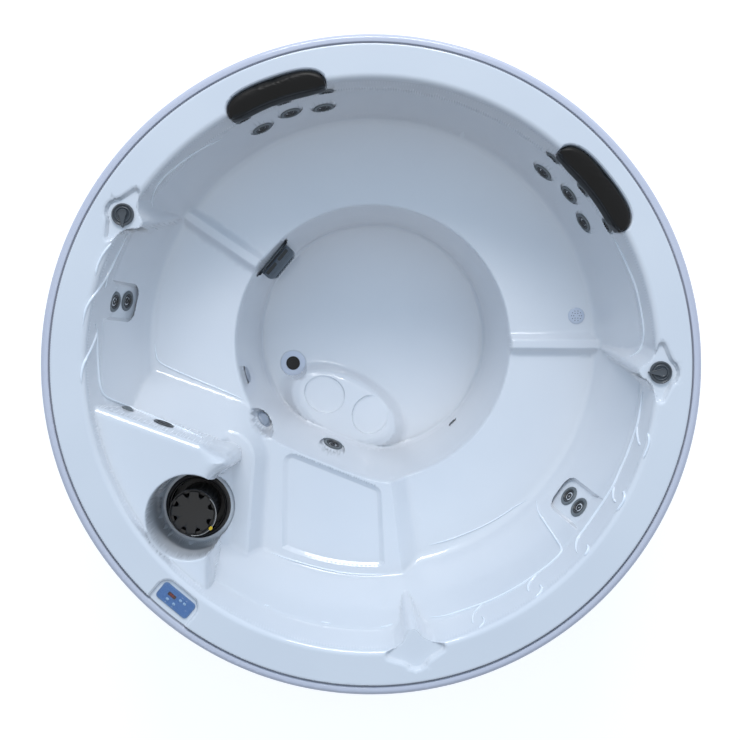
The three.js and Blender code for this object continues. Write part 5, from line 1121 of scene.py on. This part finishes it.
def pillow(name, turn, node_name):
    """A foam pad at a turn round the rim: lofted, made one skin, swollen, seamed and smoothed."""
    shares = np.sin(np.linspace(-0.985, 0.985, 48) * math.pi / 2)
    rings = []
    for share in shares:
        reach = pillow_reach(share, 3.6)
        spin = math.radians(turn - share * PILLOW_HALF)
        width, low = (PILLOW_OUT - PILLOW_IN) * reach, PILLOW_IN + 3 * (1 - reach)
        ring = []
        for out, height in PILLOW_SECTION:
            r = low + out * width
            crown = height * (0.35 + 0.65 * reach) if height > 0 else height * (0.6 + 0.4 * reach) - 3 * (1 - reach)
            ring.append((r * math.cos(spin), r * math.sin(spin), RIM + crown))
        rings.append(ring)
    made = joined(name, [(lofted(rings), 0)], [vinyl])
    remesh = made.modifiers.new("remesh", "REMESH")
    remesh.mode = "VOXEL"
    remesh.voxel_size = 0.0042
    apply_all(made)
    rest = np.zeros(len(made.data.vertices) * 3)
    made.data.vertices.foreach_get("co", rest)
    cloth = made.modifiers.new("cloth", "CLOTH")
    cloth.settings.use_pressure = True
    cloth.settings.uniform_pressure_force = 4
    cloth.settings.effector_weights.gravity = 0
    cloth.point_cache.frame_start, cloth.point_cache.frame_end = 1, 20
    for step in range(1, 21):
        bpy.context.scene.frame_set(step)
    apply_all(made)
    swollen = np.zeros(len(rest))
    made.data.vertices.foreach_get("co", swollen)
    move = (swollen - rest).reshape(-1, 3)
    far = np.linalg.norm(move, axis=1)
    move *= np.minimum(1, 0.005 / np.maximum(far, 1e-9))[:, None]
    made.data.vertices.foreach_set("co", (rest.reshape(-1, 3) + move).ravel())
    seam_pillow(made, turn)
    smooth = made.modifiers.new("smooth", "SUBSURF")
    smooth.levels = smooth.render_levels = 1
    apply_all(made)
    made.data.shade_smooth()
    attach(made, "tub")
    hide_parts(node_name)
    return made


def apply_all(made):
    """Takes an object's modifiers into its mesh."""
    graph = bpy.context.evaluated_depsgraph_get()
    mesh = bpy.data.meshes.new_from_object(made.evaluated_get(graph))
    made.modifiers.clear()
    old, made.data = made.data, mesh
    bpy.data.meshes.remove(old)


def seam_pillow(made, turn):
    """Keeps the pad inside its recess, and presses in a seam line low round its sides."""
    co = np.zeros(len(made.data.vertices) * 3)
    made.data.vertices.foreach_get("co", co)
    co = co.reshape(-1, 3) / MM
    radius, angle = np.hypot(co[:, 0], co[:, 1]), np.arctan2(co[:, 1], co[:, 0])
    normal = np.zeros(len(co) * 3)
    made.data.vertices.foreach_get("normal", normal)
    normal = normal.reshape(-1, 3)
    seam = np.exp(-((co[:, 2] - (RIM - SEAM_DROP)) / 3.0) ** 2) * (1 - np.abs(normal[:, 2]))
    co -= normal * (2.2 * seam)[:, None]
    wrinkle = 0.35 * np.sin(angle * 210 + 0.9 * np.sin(angle * 37)) * np.exp(-((co[:, 2] - (RIM - 10)) / 11) ** 2)
    co += normal * (wrinkle * (1 - np.abs(normal[:, 2])))[:, None]
    radius = np.hypot(co[:, 0], co[:, 1])
    keep = np.clip(radius, 819.5, 905.2)
    co[:, :2] *= (keep / radius)[:, None]
    co[:, 2] = np.clip(co[:, 2], RIM - PILLOW_FOOT, RIM + PILLOW_CROWN)
    made.data.vertices.foreach_set("co", (co * MM).ravel())


vinyl = material("pillow_vinyl", (0.018, 0.02, 0.023), 0.36, Sheen_Weight=0.02, Specular_IOR_Level=0.22)
uneven = cloud(vinyl, 11, 4)
grain = add(vinyl.node_tree, "ShaderNodeTexVoronoi", {"Vector": object_place(vinyl), "Scale": 620}, "Distance")
feed(vinyl, Base_Color=toned(uneven, [(0.3, (0.016, 0.018, 0.021)), (0.7, (0.034, 0.037, 0.042))]),
     Roughness=between(uneven, 0.30, 0.44), Normal=relief(grain, 0.35, 0.00025))

for side, turn in PILLOW_TURNS.items():
    pillow(f"pillow_{side}_pad", turn, f"pillow_{side}")


# The two diverter knobs are moulded grey caps on the stems of the valves below, each in the star-shaped pod over a
# fin. A knob is a dished round body with a raised ring, and a teardrop grip whose nose passes its rim.
def knob_parts():
    """A knob about its own axis, with the grip's nose along x."""
    body = turned([(0, -24.8), (11.6, -24.8), (11.6, 0.35), (32.6, 0.35), (33.6, 1.4), (33.9, 5.5), (33.4, 8.4),
                   (31.9, 10.4), (29.9, 10.9), (28.4, 10.1), (27.6, 8.2), (27.0, 6.8), (25.4, 6.2), (24.3, 7.2),
                   (23.2, 8.6), (21.6, 9.1), (20.2, 8.5), (19.4, 7.0), (18.0, 6.0), (0, 5.6)], 96)
    a = np.linspace(-2.35, 2.35, 34)
    head = np.column_stack([-4.5 - 13.5 * np.cos(a), -13.5 * np.sin(a)])
    tip = np.array([[20, 6.6], [29, 4.4], [35.5, 3.1], [38.2, 1.9], [38.9, 0], [38.2, -1.9], [35.5, -3.1],
                    [29, -4.4], [20, -6.6]])
    ring = np.vstack([tip[::-1], head])
    middle = np.array([3.0, 0.0])
    levels = [(1.0, 0.9), (1.0, 9.4), (0.985, 11.4), (0.94, 12.6), (0.88, 12.9), (0.80, 12.5), (0.74, 11.6),
              (0.7, 11.4)]
    rings = [np.column_stack([middle + (ring - middle) * s, np.full(len(ring), h)]) for s, h in levels]
    return [(body, 0), (lofted(rings), 0)]


for side, facing in (("left", -90), ("right", 180)):
    turn = math.radians(PODS[side][0])
    spot = POD_R * unit(turn)
    parts = [(spun(body, facing, *spot, RIM - POD_DEPTH), mark) for body, mark in knob_parts()]
    piece(f"knob_{side}", parts, [knob_grey], f"diverter_knob_{side}", [f"diverter_knob_{side}"])


# The skim filter is black moulded plastic in the shelf. A flanged canister is screwed to the shell, a weir ring
# floats in it, and a basket lifts out, with a notched cap, a ribbed cup and a wire bail with a small yellow tag.
def at_filter(body):
    return moved(body, *FILTER, RIM - FILTER_WELL_DEPTH)


ribbed = 66 - 0.9 * (np.sin(np.arange(192) * TURN / 192 * 24) > 0.2)
canister = turned([(0, -320.7), (94, -320.7), (96, -318.6), (96, 0.35), (103.2, 0.35), (104, 1.2), (103.7, 3.0),
                   (102.4, 4.2), (99.6, 4.7), (97.6, 5.2), (96.9, 7.4), (95.8, 8.8), (94.0, 9.0), (92.6, 8.2),
                   (92.2, 6.6), (92.2, -74.2), (62.3, -74.2), (62.3, -316.6), (0, -316.6)], 128)
piece("canister", [(at_filter(canister), 0)], [black_plastic], "tub", ["filter_canister"])
weir = turned([(85, -37.8), (91.4, -37.8), (91.6, -36.4), (91.6, 3.4), (91.0, 5.6), (89.4, 6.8), (87.2, 6.6),
               (85.6, 5.0), (85, 3.0)], 128, ring=True)
lugs = [spun(plate(slot_outline(16, 3.2), [(0.4, -30), (0, -28), (0, 1.5), (0.6, 3)], 1), a + 90,
             *(83.4 * unit(math.radians(a))), 0) for a in range(15, 375, 60)]
piece("weir", [(at_filter(weir), 0)] + [(at_filter(lug), 0) for lug in lugs], [black_plastic], "filter_weir",
      ["filter_weir"])

a = np.arange(192) * TURN / 192
notch = np.zeros(192)
for k in range(8):
    gap = (a - math.radians(17) - k * TURN / 8 + math.pi) % TURN - math.pi
    notch = np.maximum(notch, np.sqrt(np.maximum(0, 1 - (gap / math.radians(9.4)) ** 2)))
edge = 67.2 - 17 * notch
cap = turned([(edge - 1, 139.5), (edge, 140.6), (edge, 148.2), (edge - 1.6, 149.8), (edge - 4, 150.6),
              (np.minimum(edge - 6, 48), 151.0), (44, 151.5), (0, 151.7)], 192)
cup = turned([(0, -73.6), (64, -73.6), (ribbed, -72), (ribbed, 134), (66, 136), (66, 139), (72, 140), (72, 147.5),
              (70.8, 149.4), (68.8, 149.4), (67.6, 148), (67.4, 141), (61, 139), (61, -69), (0, -69)], 192)
boss = [spun(turned([(0, 149), (5.2, 149), (5.2, 151.6), (4.4, 152.4), (0, 152.8)], 20), 0,
             *(69.6 * unit(math.radians(d))), 0) for d in (38, -92)]
wire_turns = np.radians(np.linspace(38, -92, 30))
wire_r = 69.6 + 5.4 * np.sin(np.linspace(0, math.pi, 30))
wire = swept(np.column_stack([wire_r * np.cos(wire_turns), wire_r * np.sin(wire_turns),
                              152.6 + 1.2 * np.sin(np.linspace(0, math.pi, 30))]), 1.15, 8)
tag = spun(plate(slot_outline(13, 10), [(0.8, 151.4), (0, 152), (0, 155.6), (0.8, 156.4)], 1), -39.6 + 90,
           *(74.2 * unit(math.radians(-39.6))), 0)
tag_yellow = moulded("tag_yellow", (0.86, 0.72, 0.07), (0.78, 0.62, 0.04), 0.4, grain=900)
wire_steel = moulded("wire_steel", (0.66, 0.67, 0.68), (0.5, 0.51, 0.52), 0.28, metallic=0.9)
parts = [(cap, 0), (cup, 0), (wire, 1), (tag, 2)] + [(b, 0) for b in boss]
piece("basket", [(at_filter(body), mark) for body, mark in parts], [black_plastic, wire_steel, tag_yellow],
      "filter_basket", ["filter_basket"])


# The suction cover is a moulded grey box on the footwell's wall, over the mouth of the suction pipe. It stands off a
# flat plate and has two openings in its top, upright bars in front and a ribbed strip above it.
def stood(body):
    """A plate drawn in plan, set up on the wall: its own y runs out of the wall and its own z down it."""
    bmesh.ops.rotate(body, cent=(0, 0, 0), matrix=Matrix.Rotation(math.pi / 2, 3, "X"), verts=body.verts)
    return body


def suction_parts():
    """The cover in its own place: x across, y down the wall, z out of it."""
    half_u, half_v, front, back = 62, 55.5, 48.4, 8
    plan = rounded([(half_u, back, 5), (half_u, front, 19), (-half_u, front, 19), (-half_u, back, 5)], 6)
    hood = stood(plate(plan, [(5, -half_v), (1.6, 2 - half_v), (0, 6 - half_v), (0, half_v - 6), (1.6, half_v - 2),
                              (5, half_v)], 3))
    face = rounded([(half_u, -half_v, 12), (half_u, half_v, 12), (-half_u, half_v, 12), (-half_u, -half_v, 12)], 6)
    backing = plate(face, [(0.5, 0.35), (0, 0.8), (0, 2.2), (0.8, 3)], 4)
    # Painted shadow: the neck is a dark body set back under the hood, giving a dark line where the gap's shade falls.
    neck = plate(face, [(7, 2), (7, back + 3)], 4)
    parts = [(hood, 0), (backing, 2), (neck, 1)]
    lid = -half_v - 0.15
    for x, half in ((-30, 25), (29, 24)):
        well = rounded([(half, 13, 3), (half, 27, 5), (-half, 27, 5), (-half, 13, 3)], 4) + (x, 0)
        parts.append((stood(plate(well, [(0, lid - 0.7), (0, lid + 3)], 3)), 1))
        edge = outline_rows(well, [0], 3)[0]
        rail = np.column_stack([edge[:, 0], np.full(len(edge), -lid), edge[:, 1]])
        parts.append((swept(rail, 1.2, 8, loop=True), 0))
    for z, span in ((33, 106), (38.5, 98)):
        rail = [(x, -lid, z) for x in np.linspace(-span / 2, span / 2, 12)]
        parts.append((swept(rail, 0.9, 8), 0))
    inner = rounded([(46, -44, 9), (46, 44, 9), (-46, 44, 9), (-46, -44, 9)], 5)
    parts.append((plate(inner, [(0, front - 2), (0, front + 0.5), (0.6, front + 0.8)], 4), 1))
    for i in range(8):
        bar = plate(slot_outline(86, 5.4, 6), [(0.4, front), (0.2, front + 2.2), (1.4, front + 3.2)], 1.5)
        parts.append((spun(bar, 90, (i - 3.5) * 12, 0, 0), 0))
    parts.append((plate(slot_outline(90, 6.5, 6), [(0.4, front), (0, front + 2.4), (1.6, front + 3.2)], 2), 0))
    parts.append((turned([(0, -29.8), (21.4, -29.8), (21.8, -29), (21.8, 1), (0, 1)], 32), 0))
    for i in range(23):
        rib = plate(slot_outline(10.5, 2.4, 4), [(0, 0.2), (0, 2.2), (0.5, 2.7)], 1)
        parts.append((spun(rib, 90, (i - 11) * 6.1, 61.6, 0), 2))
    return parts


suction_grey = moulded("suction_grey", (0.36, 0.40, 0.44), (0.30, 0.34, 0.38), 0.32, grain=1200)
suction_dark = moulded("suction_dark", (0.15, 0.18, 0.20), (0.11, 0.13, 0.15), 0.45, grain=1200)
pad_grey = moulded("pad_grey", (0.52, 0.55, 0.58), (0.47, 0.5, 0.53), 0.35, grain=1200)
piece("suction_box", [(placed(body, SUCTION), mark) for body, mark in suction_parts()],
      [suction_grey, suction_dark, pad_grey], "tub", ["suction_cover"])


# The round fittings are moulded faces on spigots through the shell, each held by a nut behind it: drain with its
# grate, light lens, wall cover, return nozzle, seat injector, air cap and slim jet.
def fitting(name, node_name, profile, b, mats, extra=(), count=72):
    parts = [(placed(turned(profile, count), b), 0)] + [(placed(body, b), mark) for body, mark in extra]
    return piece(name, parts, mats, "tub", [node_name])


def level_basis(x, y, z):
    return np.column_stack([np.eye(3), (x, y, z)])


drain_black = moulded("drain_black", (0.045, 0.05, 0.06), (0.07, 0.08, 0.09), 0.4, grain=1000)
lens_grey = material("lens_grey", (0.68, 0.71, 0.76), 0.12, Transmission_Weight=0.25, Coat_Weight=0.5)
feed(lens_grey, Normal=relief(cloud(lens_grey, 190, 1), 0.5, 0.0012))
acrylic_fit = moulded("fitting_acrylic", (0.80, 0.82, 0.87), (0.77, 0.79, 0.84), 0.2, spread=0.05, grain=700,
                      Coat_Weight=0.5)
pad_lavender = moulded("pad_lavender", (0.62, 0.64, 0.68), (0.58, 0.60, 0.64), 0.3, grain=900)

DRAIN = level_basis(*DRAIN_SPOT, RIM - FLOOR_DEPTH)
GRATE_R = 19.5
grate = []
for x in np.linspace(-16, 16, 9):
    half = math.sqrt(GRATE_R ** 2 - x * x)
    grate.append((swept([(x, -half, 3.1), (x, half, 3.1)], 1.1, 8), 1))
cup = turned([(0, 1.0), (23.9, 1.0), (23.9, 2.4), (22.8, 3.5), (20.4, 3.6), (19.2, 2.6), (0, 2.3)], 64)
fitting("drain", "floor_drain",
        [(0, -29.8), (21.6, -29.8), (21.8, 0.35), (42.6, 0.35), (43.8, 0.9), (43.4, 1.8), (41, 2.5), (36, 2.7),
         (30, 3.1), (26.6, 3.6), (25.2, 3.6), (24.4, 2.8), (24.2, 1.0), (0, 0.9)],
        DRAIN, [acrylic_fit, drain_black], [(cup, 1)] + grate)
a = np.arange(72) * TURN / 72
facet = 1 - 0.05 * np.abs(np.sin(3.5 * a + 0.4))
fitting("lens", "light_lens",
        [(0, -29.8), (21.6, -29.8), (21.8, 0.35), (29 * facet, 0.35), (29.6 * facet, 1.4), (28.6 * facet, 3.2),
         (26 * facet, 3.9), (24.6 * facet, 3.2), (23.8 * facet, 3.0), (22.4 * facet, 4.6), (17 * facet, 7.4),
         (9 * facet, 9.3), (0, 9.8)], LIGHT, [lens_grey])
fitting("wall_cover", "footwell_cover",
        [(0, -29.8), (21.6, -29.8), (21.8, 0.35), (28.6, 0.35), (29.8, 1.0), (29.6, 2.4), (28.6, 3.8), (26.4, 5),
         (21, 7.2), (14, 8.9), (13.2, 8.4), (12.4, 9.1), (6, 9.8), (0, 10)], COVER, [pad_lavender])
fitting("return_nozzle", "return_fitting",
        [(0, -29.8), (10.6, -29.8), (10.8, 0.35), (16, 0.35), (16.8, 1.1), (16.4, 2.8), (15, 3.8), (12.6, 3.9),
         (11.6, 3.0), (11, 1.0), (0, 0.6)], RETURN, [jet_grey, jet_dark],
        [(turned([(0, 0.2), (8.4, 0.2), (9, 1.6), (7.6, 2.9), (4.4, 3.1), (3.6, 2.0), (0, 1.6)], 40), 1)])
INJECTOR = level_basis(*(687 * unit(math.radians(11.85))), RIM - SEAT_DEPTH)
holes = [(spun(turned([(0, 5.05), (1.5, 5.05), (1.5, 5.35), (0, 5.4)], 12), 0, *(q * unit(t)), 0), 1)
         for q, n in ((16, 10), (9, 6)) for t in np.arange(n) * TURN / n]
fitting("injector", "seat_injector",
        [(0, -29.8), (17.2, -29.8), (17.4, 0.35), (25.6, 0.35), (26.8, 1.2), (26.2, 2.9), (24.2, 4.0), (21.8, 4.2),
         (20.8, 4.6), (19.6, 5.0), (8, 5.3), (0, 5.5)], INJECTOR, [acrylic_fit, jet_dark], holes)


def shelf_basis(x, depth):
    """A fitting's place on the shelf's face, which leans out 7 mm between depths 67 and 250."""
    rise = 7 / (250 - 67)
    offset = -SHELF_FACE + rise * (depth - 67)
    run = (x - offset * SHELF_OUT[0]) / math.cos(SHELF_TURN)
    along = unit(SHELF_TURN)
    spot = offset * SHELF_OUT + run * along
    return basis((*spot, RIM - depth), (*SHELF_OUT, rise))


AIR, SLIM = shelf_basis(-762, 196), shelf_basis(-645.3, 170)
fitting("air_valve", "air_cap",
        [(0, -29.8), (10.6, -29.8), (10.8, 0.35), (18.8, 0.35), (19.8, 1.2), (19.4, 3.0), (17.8, 4.2), (15.6, 4.6),
         (13.4, 6.4), (10.2, 8.6), (5.5, 9.8), (0, 10)], AIR, [jet_grey])
fitting("slim_jet_face", "slim_jet",
        [(0, -29.8), (16.4, -29.8), (16.8, 0.35), (31.6, 0.35), (32.8, 1.2), (32.4, 2.8), (30.4, 3.8), (27, 3.8),
         (25.6, 2.8), (24.6, 1.8), (0, 1.6)], SLIM, [jet_dark, hole_dark],
        [(plate(slot_outline(40, 10, 8), [(0, 1.2), (0, 2.4), (0.8, 3.2)], 1.5), 1)])


# The control panel is a moulded bezel in a notch of the deck, under a blue speckled film. Its pockets hold a dark red
# display and four small sprung keys, each with an arrow on it and a plain bar beside it.
PANEL_W, PANEL_H, PANEL_TILT = 118, 55, -39.6


def panel_basis():
    spot = CONTROL_R * unit(CONTROL_TURN)
    turn = math.radians(PANEL_TILT)
    across, up = unit(turn), unit(turn + math.pi / 2)
    return np.column_stack([(*across, 0), (*up, 0), (0, 0, 1), (*spot, RIM - 10)])


PANEL = panel_basis()


def panel_outline(inset, corner, x=0.0, y=0.0, width=PANEL_W, height=PANEL_H):
    """A round-cornered box in the panel's own x and y."""
    u, v = width / 2 - inset, height / 2 - inset
    return rounded([(x + u, y - v, corner), (x + u, y + v, corner), (x - u, y + v, corner),
                    (x - u, y - v, corner)], 6)


panel_blue = moulded("panel_blue", (0.27, 0.42, 0.62), (0.22, 0.36, 0.55), 0.3, grain=500)
feed(panel_blue, Base_Color=toned(cloud(panel_blue, 1150), [(0.40, (0.22, 0.36, 0.56)), (0.56, (0.31, 0.46, 0.67)),
                                                           (0.70, (0.58, 0.70, 0.84))]))
bezel_blue = moulded("bezel_blue", (0.40, 0.52, 0.68), (0.33, 0.45, 0.62), 0.3, grain=900)
bezel_parts = [
    (plate(panel_outline(9, 6), [(1, -15.8), (0, -15), (0, 0.2)], 3), 1),
    (plate(panel_outline(0, 11), [(0.6, 0.35), (0, 1.0), (0, 2.4), (0.7, 3.6), (2.0, 4.2), (3.4, 4.0), (4.0, 3.5)],
           2.5), 1),
    (plate(panel_outline(4.6, 7.5), [(0, 3.0), (0, 3.75), (0.35, 4.0)], 2.5), 0)]
bezel = piece("panel_bezel", [(placed(body, PANEL), mark) for body, mark in bezel_parts], [panel_blue, bezel_blue],
              "tub", ["control_panel"])
KEYS = ((0.1, 0.15), (0.23, 0.15), (-0.19, -0.22), (0.02, -0.22))
DISPLAY = (-0.15 * PANEL_W, 0.08 * PANEL_H)
KEY_SIZE, WINDOW_SIZE = (10, 7), (27, 10)
pockets = [plate(panel_outline(-0.5, 3, x * PANEL_W, y * PANEL_H, *KEY_SIZE), [(0, 0.5), (0, 9)], 1.5)
           for x, y in KEYS]
pockets.append(plate(panel_outline(-0.3, 1.8, *DISPLAY, *WINDOW_SIZE), [(0, 1.3), (0, 9)], 1.5))
cutter = joined("panel_cutter", [(placed(pocket, PANEL), 0) for pocket in pockets], [panel_blue], smooth=False)
cut = bezel.modifiers.new("cut", "BOOLEAN")
cut.object, cut.operation, cut.solver, cut.use_self = cutter, "DIFFERENCE", "EXACT", True
apply_all(bezel)
bpy.data.objects.remove(cutter)

ridge = outline_rows(panel_outline(0, 5, *DISPLAY, 33, 14.5), [0.0], 2)[0]
marks = [(placed(swept(np.column_stack([ridge, np.full(len(ridge), 4.0)]), 0.75, 8, loop=True), PANEL), 0)]
for x, y in ((0.1, 0.33), (0.23, 0.33), (-0.19, -0.40), (0.02, -0.40), (0.36, -0.1)):
    bar = spun(plate(slot_outline(5.2, 0.9), [(0, 3.9), (0, 4.12)], 0.5), 0, x * PANEL_W, y * PANEL_H)
    marks.append((placed(bar, PANEL), 1))
piece("panel_marks", marks, [bezel_blue, pale_plastic], "tub")

display_red = material("display_red", (0.22, 0.035, 0.05), 0.12, Coat_Weight=0.7)
tones = toned(cloud(display_red, 300), [(0.3, (0.20, 0.03, 0.045)), (0.7, (0.27, 0.05, 0.065))])
feed(display_red, Base_Color=tones, Normal=relief(cloud(display_red, 90), 0.1, 0.0002))
segment_red = material("segment_red", (0.75, 0.13, 0.10), 0.3, Emission_Strength=0.15)
segment_red.node_tree.nodes["Principled BSDF"].inputs["Emission Color"].default_value = (0.8, 0.05, 0.03, 1)
window = plate(panel_outline(0, 1.6, 0, 0, *WINDOW_SIZE), [(0.3, 1.55), (0, 1.8), (0, 4.4), (0.5, 4.9)], 1.2)
lines = []
for digit, lit in enumerate(((1, 1, 0, 1, 0, 1, 1), (1, 1, 1, 1, 0, 1, 0))):
    x0 = -4.2 + digit * 6.2
    places = ((0, 2.9, 0), (1.7, 1.45, 1), (1.7, -1.45, 1), (0, -2.9, 0), (-1.7, -1.45, 1), (-1.7, 1.45, 1),
              (0, 0, 0))
    for on, (x, y, upright) in zip(lit, places):
        if on:
            bar = plate(slot_outline(2.7, 0.62), [(0, 4.7), (0, 4.98)], 0.4)
            lines.append(spun(bar, 90 * upright, x0 + x, y))
parts = [(window, 0)] + [(line, 1) for line in lines]
piece("display_window", [(placed(moved(body, *DISPLAY, 0), PANEL), mark) for body, mark in parts],
      [display_red, segment_red], "tub", ["panel_display"])

key_pale = moulded("key_pale", (0.66, 0.76, 0.86), (0.58, 0.69, 0.81), 0.3, grain=1400)
for k, (x, y) in enumerate(KEYS):
    key = plate(panel_outline(0, 2.6, 0, 0, *KEY_SIZE),
                [(0.2, 2.5), (0, 2.7), (0, 4.6), (0.5, 5.2), (1.3, 5.55), (2.0, 5.5)], 1)
    arrow = plate(np.array([(0, 1.1), (-1.2, -0.8), (1.2, -0.8)]), [(0, 5.3), (0, 5.68)], 0.6)
    parts = [(spun(key, 0, x * PANEL_W, y * PANEL_H), 0), (spun(arrow, 180 * (k % 2), x * PANEL_W, y * PANEL_H), 1)]
    piece(f"key_{k + 1}", [(placed(body, PANEL), mark) for body, mark in parts], [key_pale, jet_dark],
          f"panel_button_{k + 1}", [f"panel_button_{k + 1}"])


# The cabinet is upright boards of grey composite on a frame of sawn timber, over a black moulded base pan. Inside
# stand the pump, its steel heater, the control box and white plastic pipe. These nodes come from the part as they
# are, and get worked finishes.
def finish_nodes(mat, *names):
    """Gives nodes that come from the part their finish."""
    for name in names:
        for made_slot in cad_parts[name].material_slots:
            made_slot.material = mat


def grained(name, color, roughness, tones, grain, gloss, fine, depth):
    """Boards with a grain that runs up them: long streaks of colour and gloss, and fine ridges."""
    mat = material(name, color, roughness)
    streaks = cloud(mat, *grain)
    feed(mat, Base_Color=toned(streaks, tones), Roughness=between(streaks, *gloss),
         Normal=relief(cloud(mat, *fine), depth, 0.0008))
    return mat


cabinet = grained("cabinet_boards", (0.50, 0.50, 0.49), 0.6,
                  [(0.3, (0.43, 0.43, 0.42)), (0.5, (0.50, 0.50, 0.49)), (0.7, (0.57, 0.57, 0.55))],
                  (5, 6, (9, 9, 1)), (0.5, 0.72), (60, 4, (4, 4, 0.5)), 0.35)
timber = grained("frame_timber", (0.70, 0.56, 0.38), 0.7,
                 [(0.3, (0.60, 0.45, 0.28)), (0.55, (0.72, 0.58, 0.40)), (0.75, (0.80, 0.68, 0.50))],
                 (12, 5, (6, 6, 0.6)), (0.6, 0.85), (90, 4, (4, 4, 0.4)), 0.4)
pan_black = moulded("pan_black", (0.06, 0.06, 0.065), (0.10, 0.10, 0.105), 0.55, grain=500, depth=0.0003)
motor_paint = moulded("motor_paint", (0.10, 0.14, 0.20), (0.14, 0.18, 0.25), 0.38, grain=1400)
steel = moulded("steel_tube", (0.62, 0.63, 0.64), (0.52, 0.53, 0.55), 0.28, spread=0.1, grain=1600, metallic=1.0)
paper = moulded("filter_pleats", (0.90, 0.90, 0.87), (0.84, 0.84, 0.80), 0.9, spread=0.05, grain=1500, depth=0.0004)
finish_nodes(cabinet, "cabinet_panel_1", "cabinet_panel_2", "cabinet_panel_3", "cabinet_panel_4", "cabinet_panel_6",
             "access_door")
finish_nodes(timber, "cabinet_frame")
finish_nodes(pan_black, "base_pan")
finish_nodes(motor_paint, "pump_motor")
finish_nodes(black_plastic, "pump_head")
finish_nodes(steel, "heater")
finish_nodes(moulded("box_grey", (0.55, 0.57, 0.59), (0.50, 0.52, 0.54), 0.45, grain=1200), "control_box")
finish_nodes(white_pipe, "suction_pipe", "pump_pipe", "supply_pipe", "jet_manifold", "foot_jet_body",
             "diverter_valve_left", "diverter_valve_right")
finish_nodes(paper, "filter_cartridge")


# The room is a pale floor that keeps the shadow, one broad lamp behind the tub, and a soft sky. The sky is cool
# overhead and warm and dim low down, so that walls facing forward fall into a warmer shade. Camera and gloss see
# plain white beyond.
SKY_AIM, SKY_POWER = (0.0, 0.60, 0.80), 1.06
SKY_SHADES = [(0.16, (0.13, 0.11, 0.09)), (0.52, (0.38, 0.355, 0.33)), (0.80, (0.79, 0.89, 1.0)),
              (0.97, (0.79, 0.90, 1.0))]
LAMP_SIZE, LAMP_POWER, LAMP_COLOR = (5.4, 2.0), 440, (0.98, 0.975, 0.985)
LAMP_PLACE, LAMP_AIM = Vector((-0.1, 8.0, 7.0)), Vector((0, -0.1, 0.5))
FLOOR_REACH, FLOOR_GLOW, FLOOR_GLOW_SHARE = 14, 1.82, 0.42


def seen_by(tree, *rays):
    """One where any of these rays looks on, and nought elsewhere."""
    seen = add(tree, "ShaderNodeLightPath", output=rays[0])
    for ray in rays[1:]:
        seen = seen.or_more(add(tree, "ShaderNodeLightPath", output=ray))
    return seen


floor_mat = material("floor", (0.93, 0.93, 0.94), 0.9)
tree = floor_mat.node_tree
share = seen_by(tree, "Is Camera Ray", "Is Glossy Ray") * FLOOR_GLOW_SHARE
glow = add(tree, "ShaderNodeEmission", {"Color": (1, 1, 1, 1), "Strength": FLOOR_GLOW})
matt = Shade(tree, tree.nodes["Principled BSDF"].outputs["BSDF"])
surface = add(tree, "ShaderNodeMixShader", {"Fac": share, 1: matt, 2: glow})
tree.links.new(surface.socket, tree.nodes["Material Output"].inputs["Surface"])
plan = bmesh.new()
bmesh.ops.create_grid(plan, x_segments=1, y_segments=1, size=FLOOR_REACH)
floor_mesh = bpy.data.meshes.new("floor")
plan.to_mesh(floor_mesh)
plan.free()
floor_mesh.materials.append(floor_mat)
floor = bpy.data.objects.new("floor", floor_mesh)
bpy.context.scene.collection.objects.link(floor)

world = bpy.data.worlds.new("world")
bpy.context.scene.world = world
world.use_nodes = True
sky = world.node_tree
for made in list(sky.nodes):
    sky.nodes.remove(made)
way = add(sky, "ShaderNodeTexCoord", output="Generated")
toward = add(sky, "ShaderNodeVectorMath", {0: way, 1: SKY_AIM}, "Value", operation="DOT_PRODUCT")
shades = toned((toward + 1) / 2, SKY_SHADES)
light = add(sky, "ShaderNodeBackground", {"Color": shades, "Strength": SKY_POWER})
plain = add(sky, "ShaderNodeBackground", {"Color": (1, 1, 1, 1)})
looked_at = seen_by(sky, "Is Camera Ray", "Is Glossy Ray", "Is Transmission Ray")
behind = add(sky, "ShaderNodeMixShader", {"Fac": looked_at, 1: light, 2: plain})
sky.links.new(behind.socket, sky.nodes.new("ShaderNodeOutputWorld").inputs["Surface"])

lamp = bpy.data.lights.new("window", "AREA")
lamp.shape = "RECTANGLE"
lamp.size, lamp.size_y = LAMP_SIZE
lamp.energy, lamp.color = LAMP_POWER, LAMP_COLOR
lamp_object = bpy.data.objects.new("window", lamp)
lamp_object.location = LAMP_PLACE
lamp_object.rotation_euler = (LAMP_AIM - LAMP_PLACE).to_track_quat("-Z", "Y").to_euler()
bpy.context.scene.collection.objects.link(lamp_object)
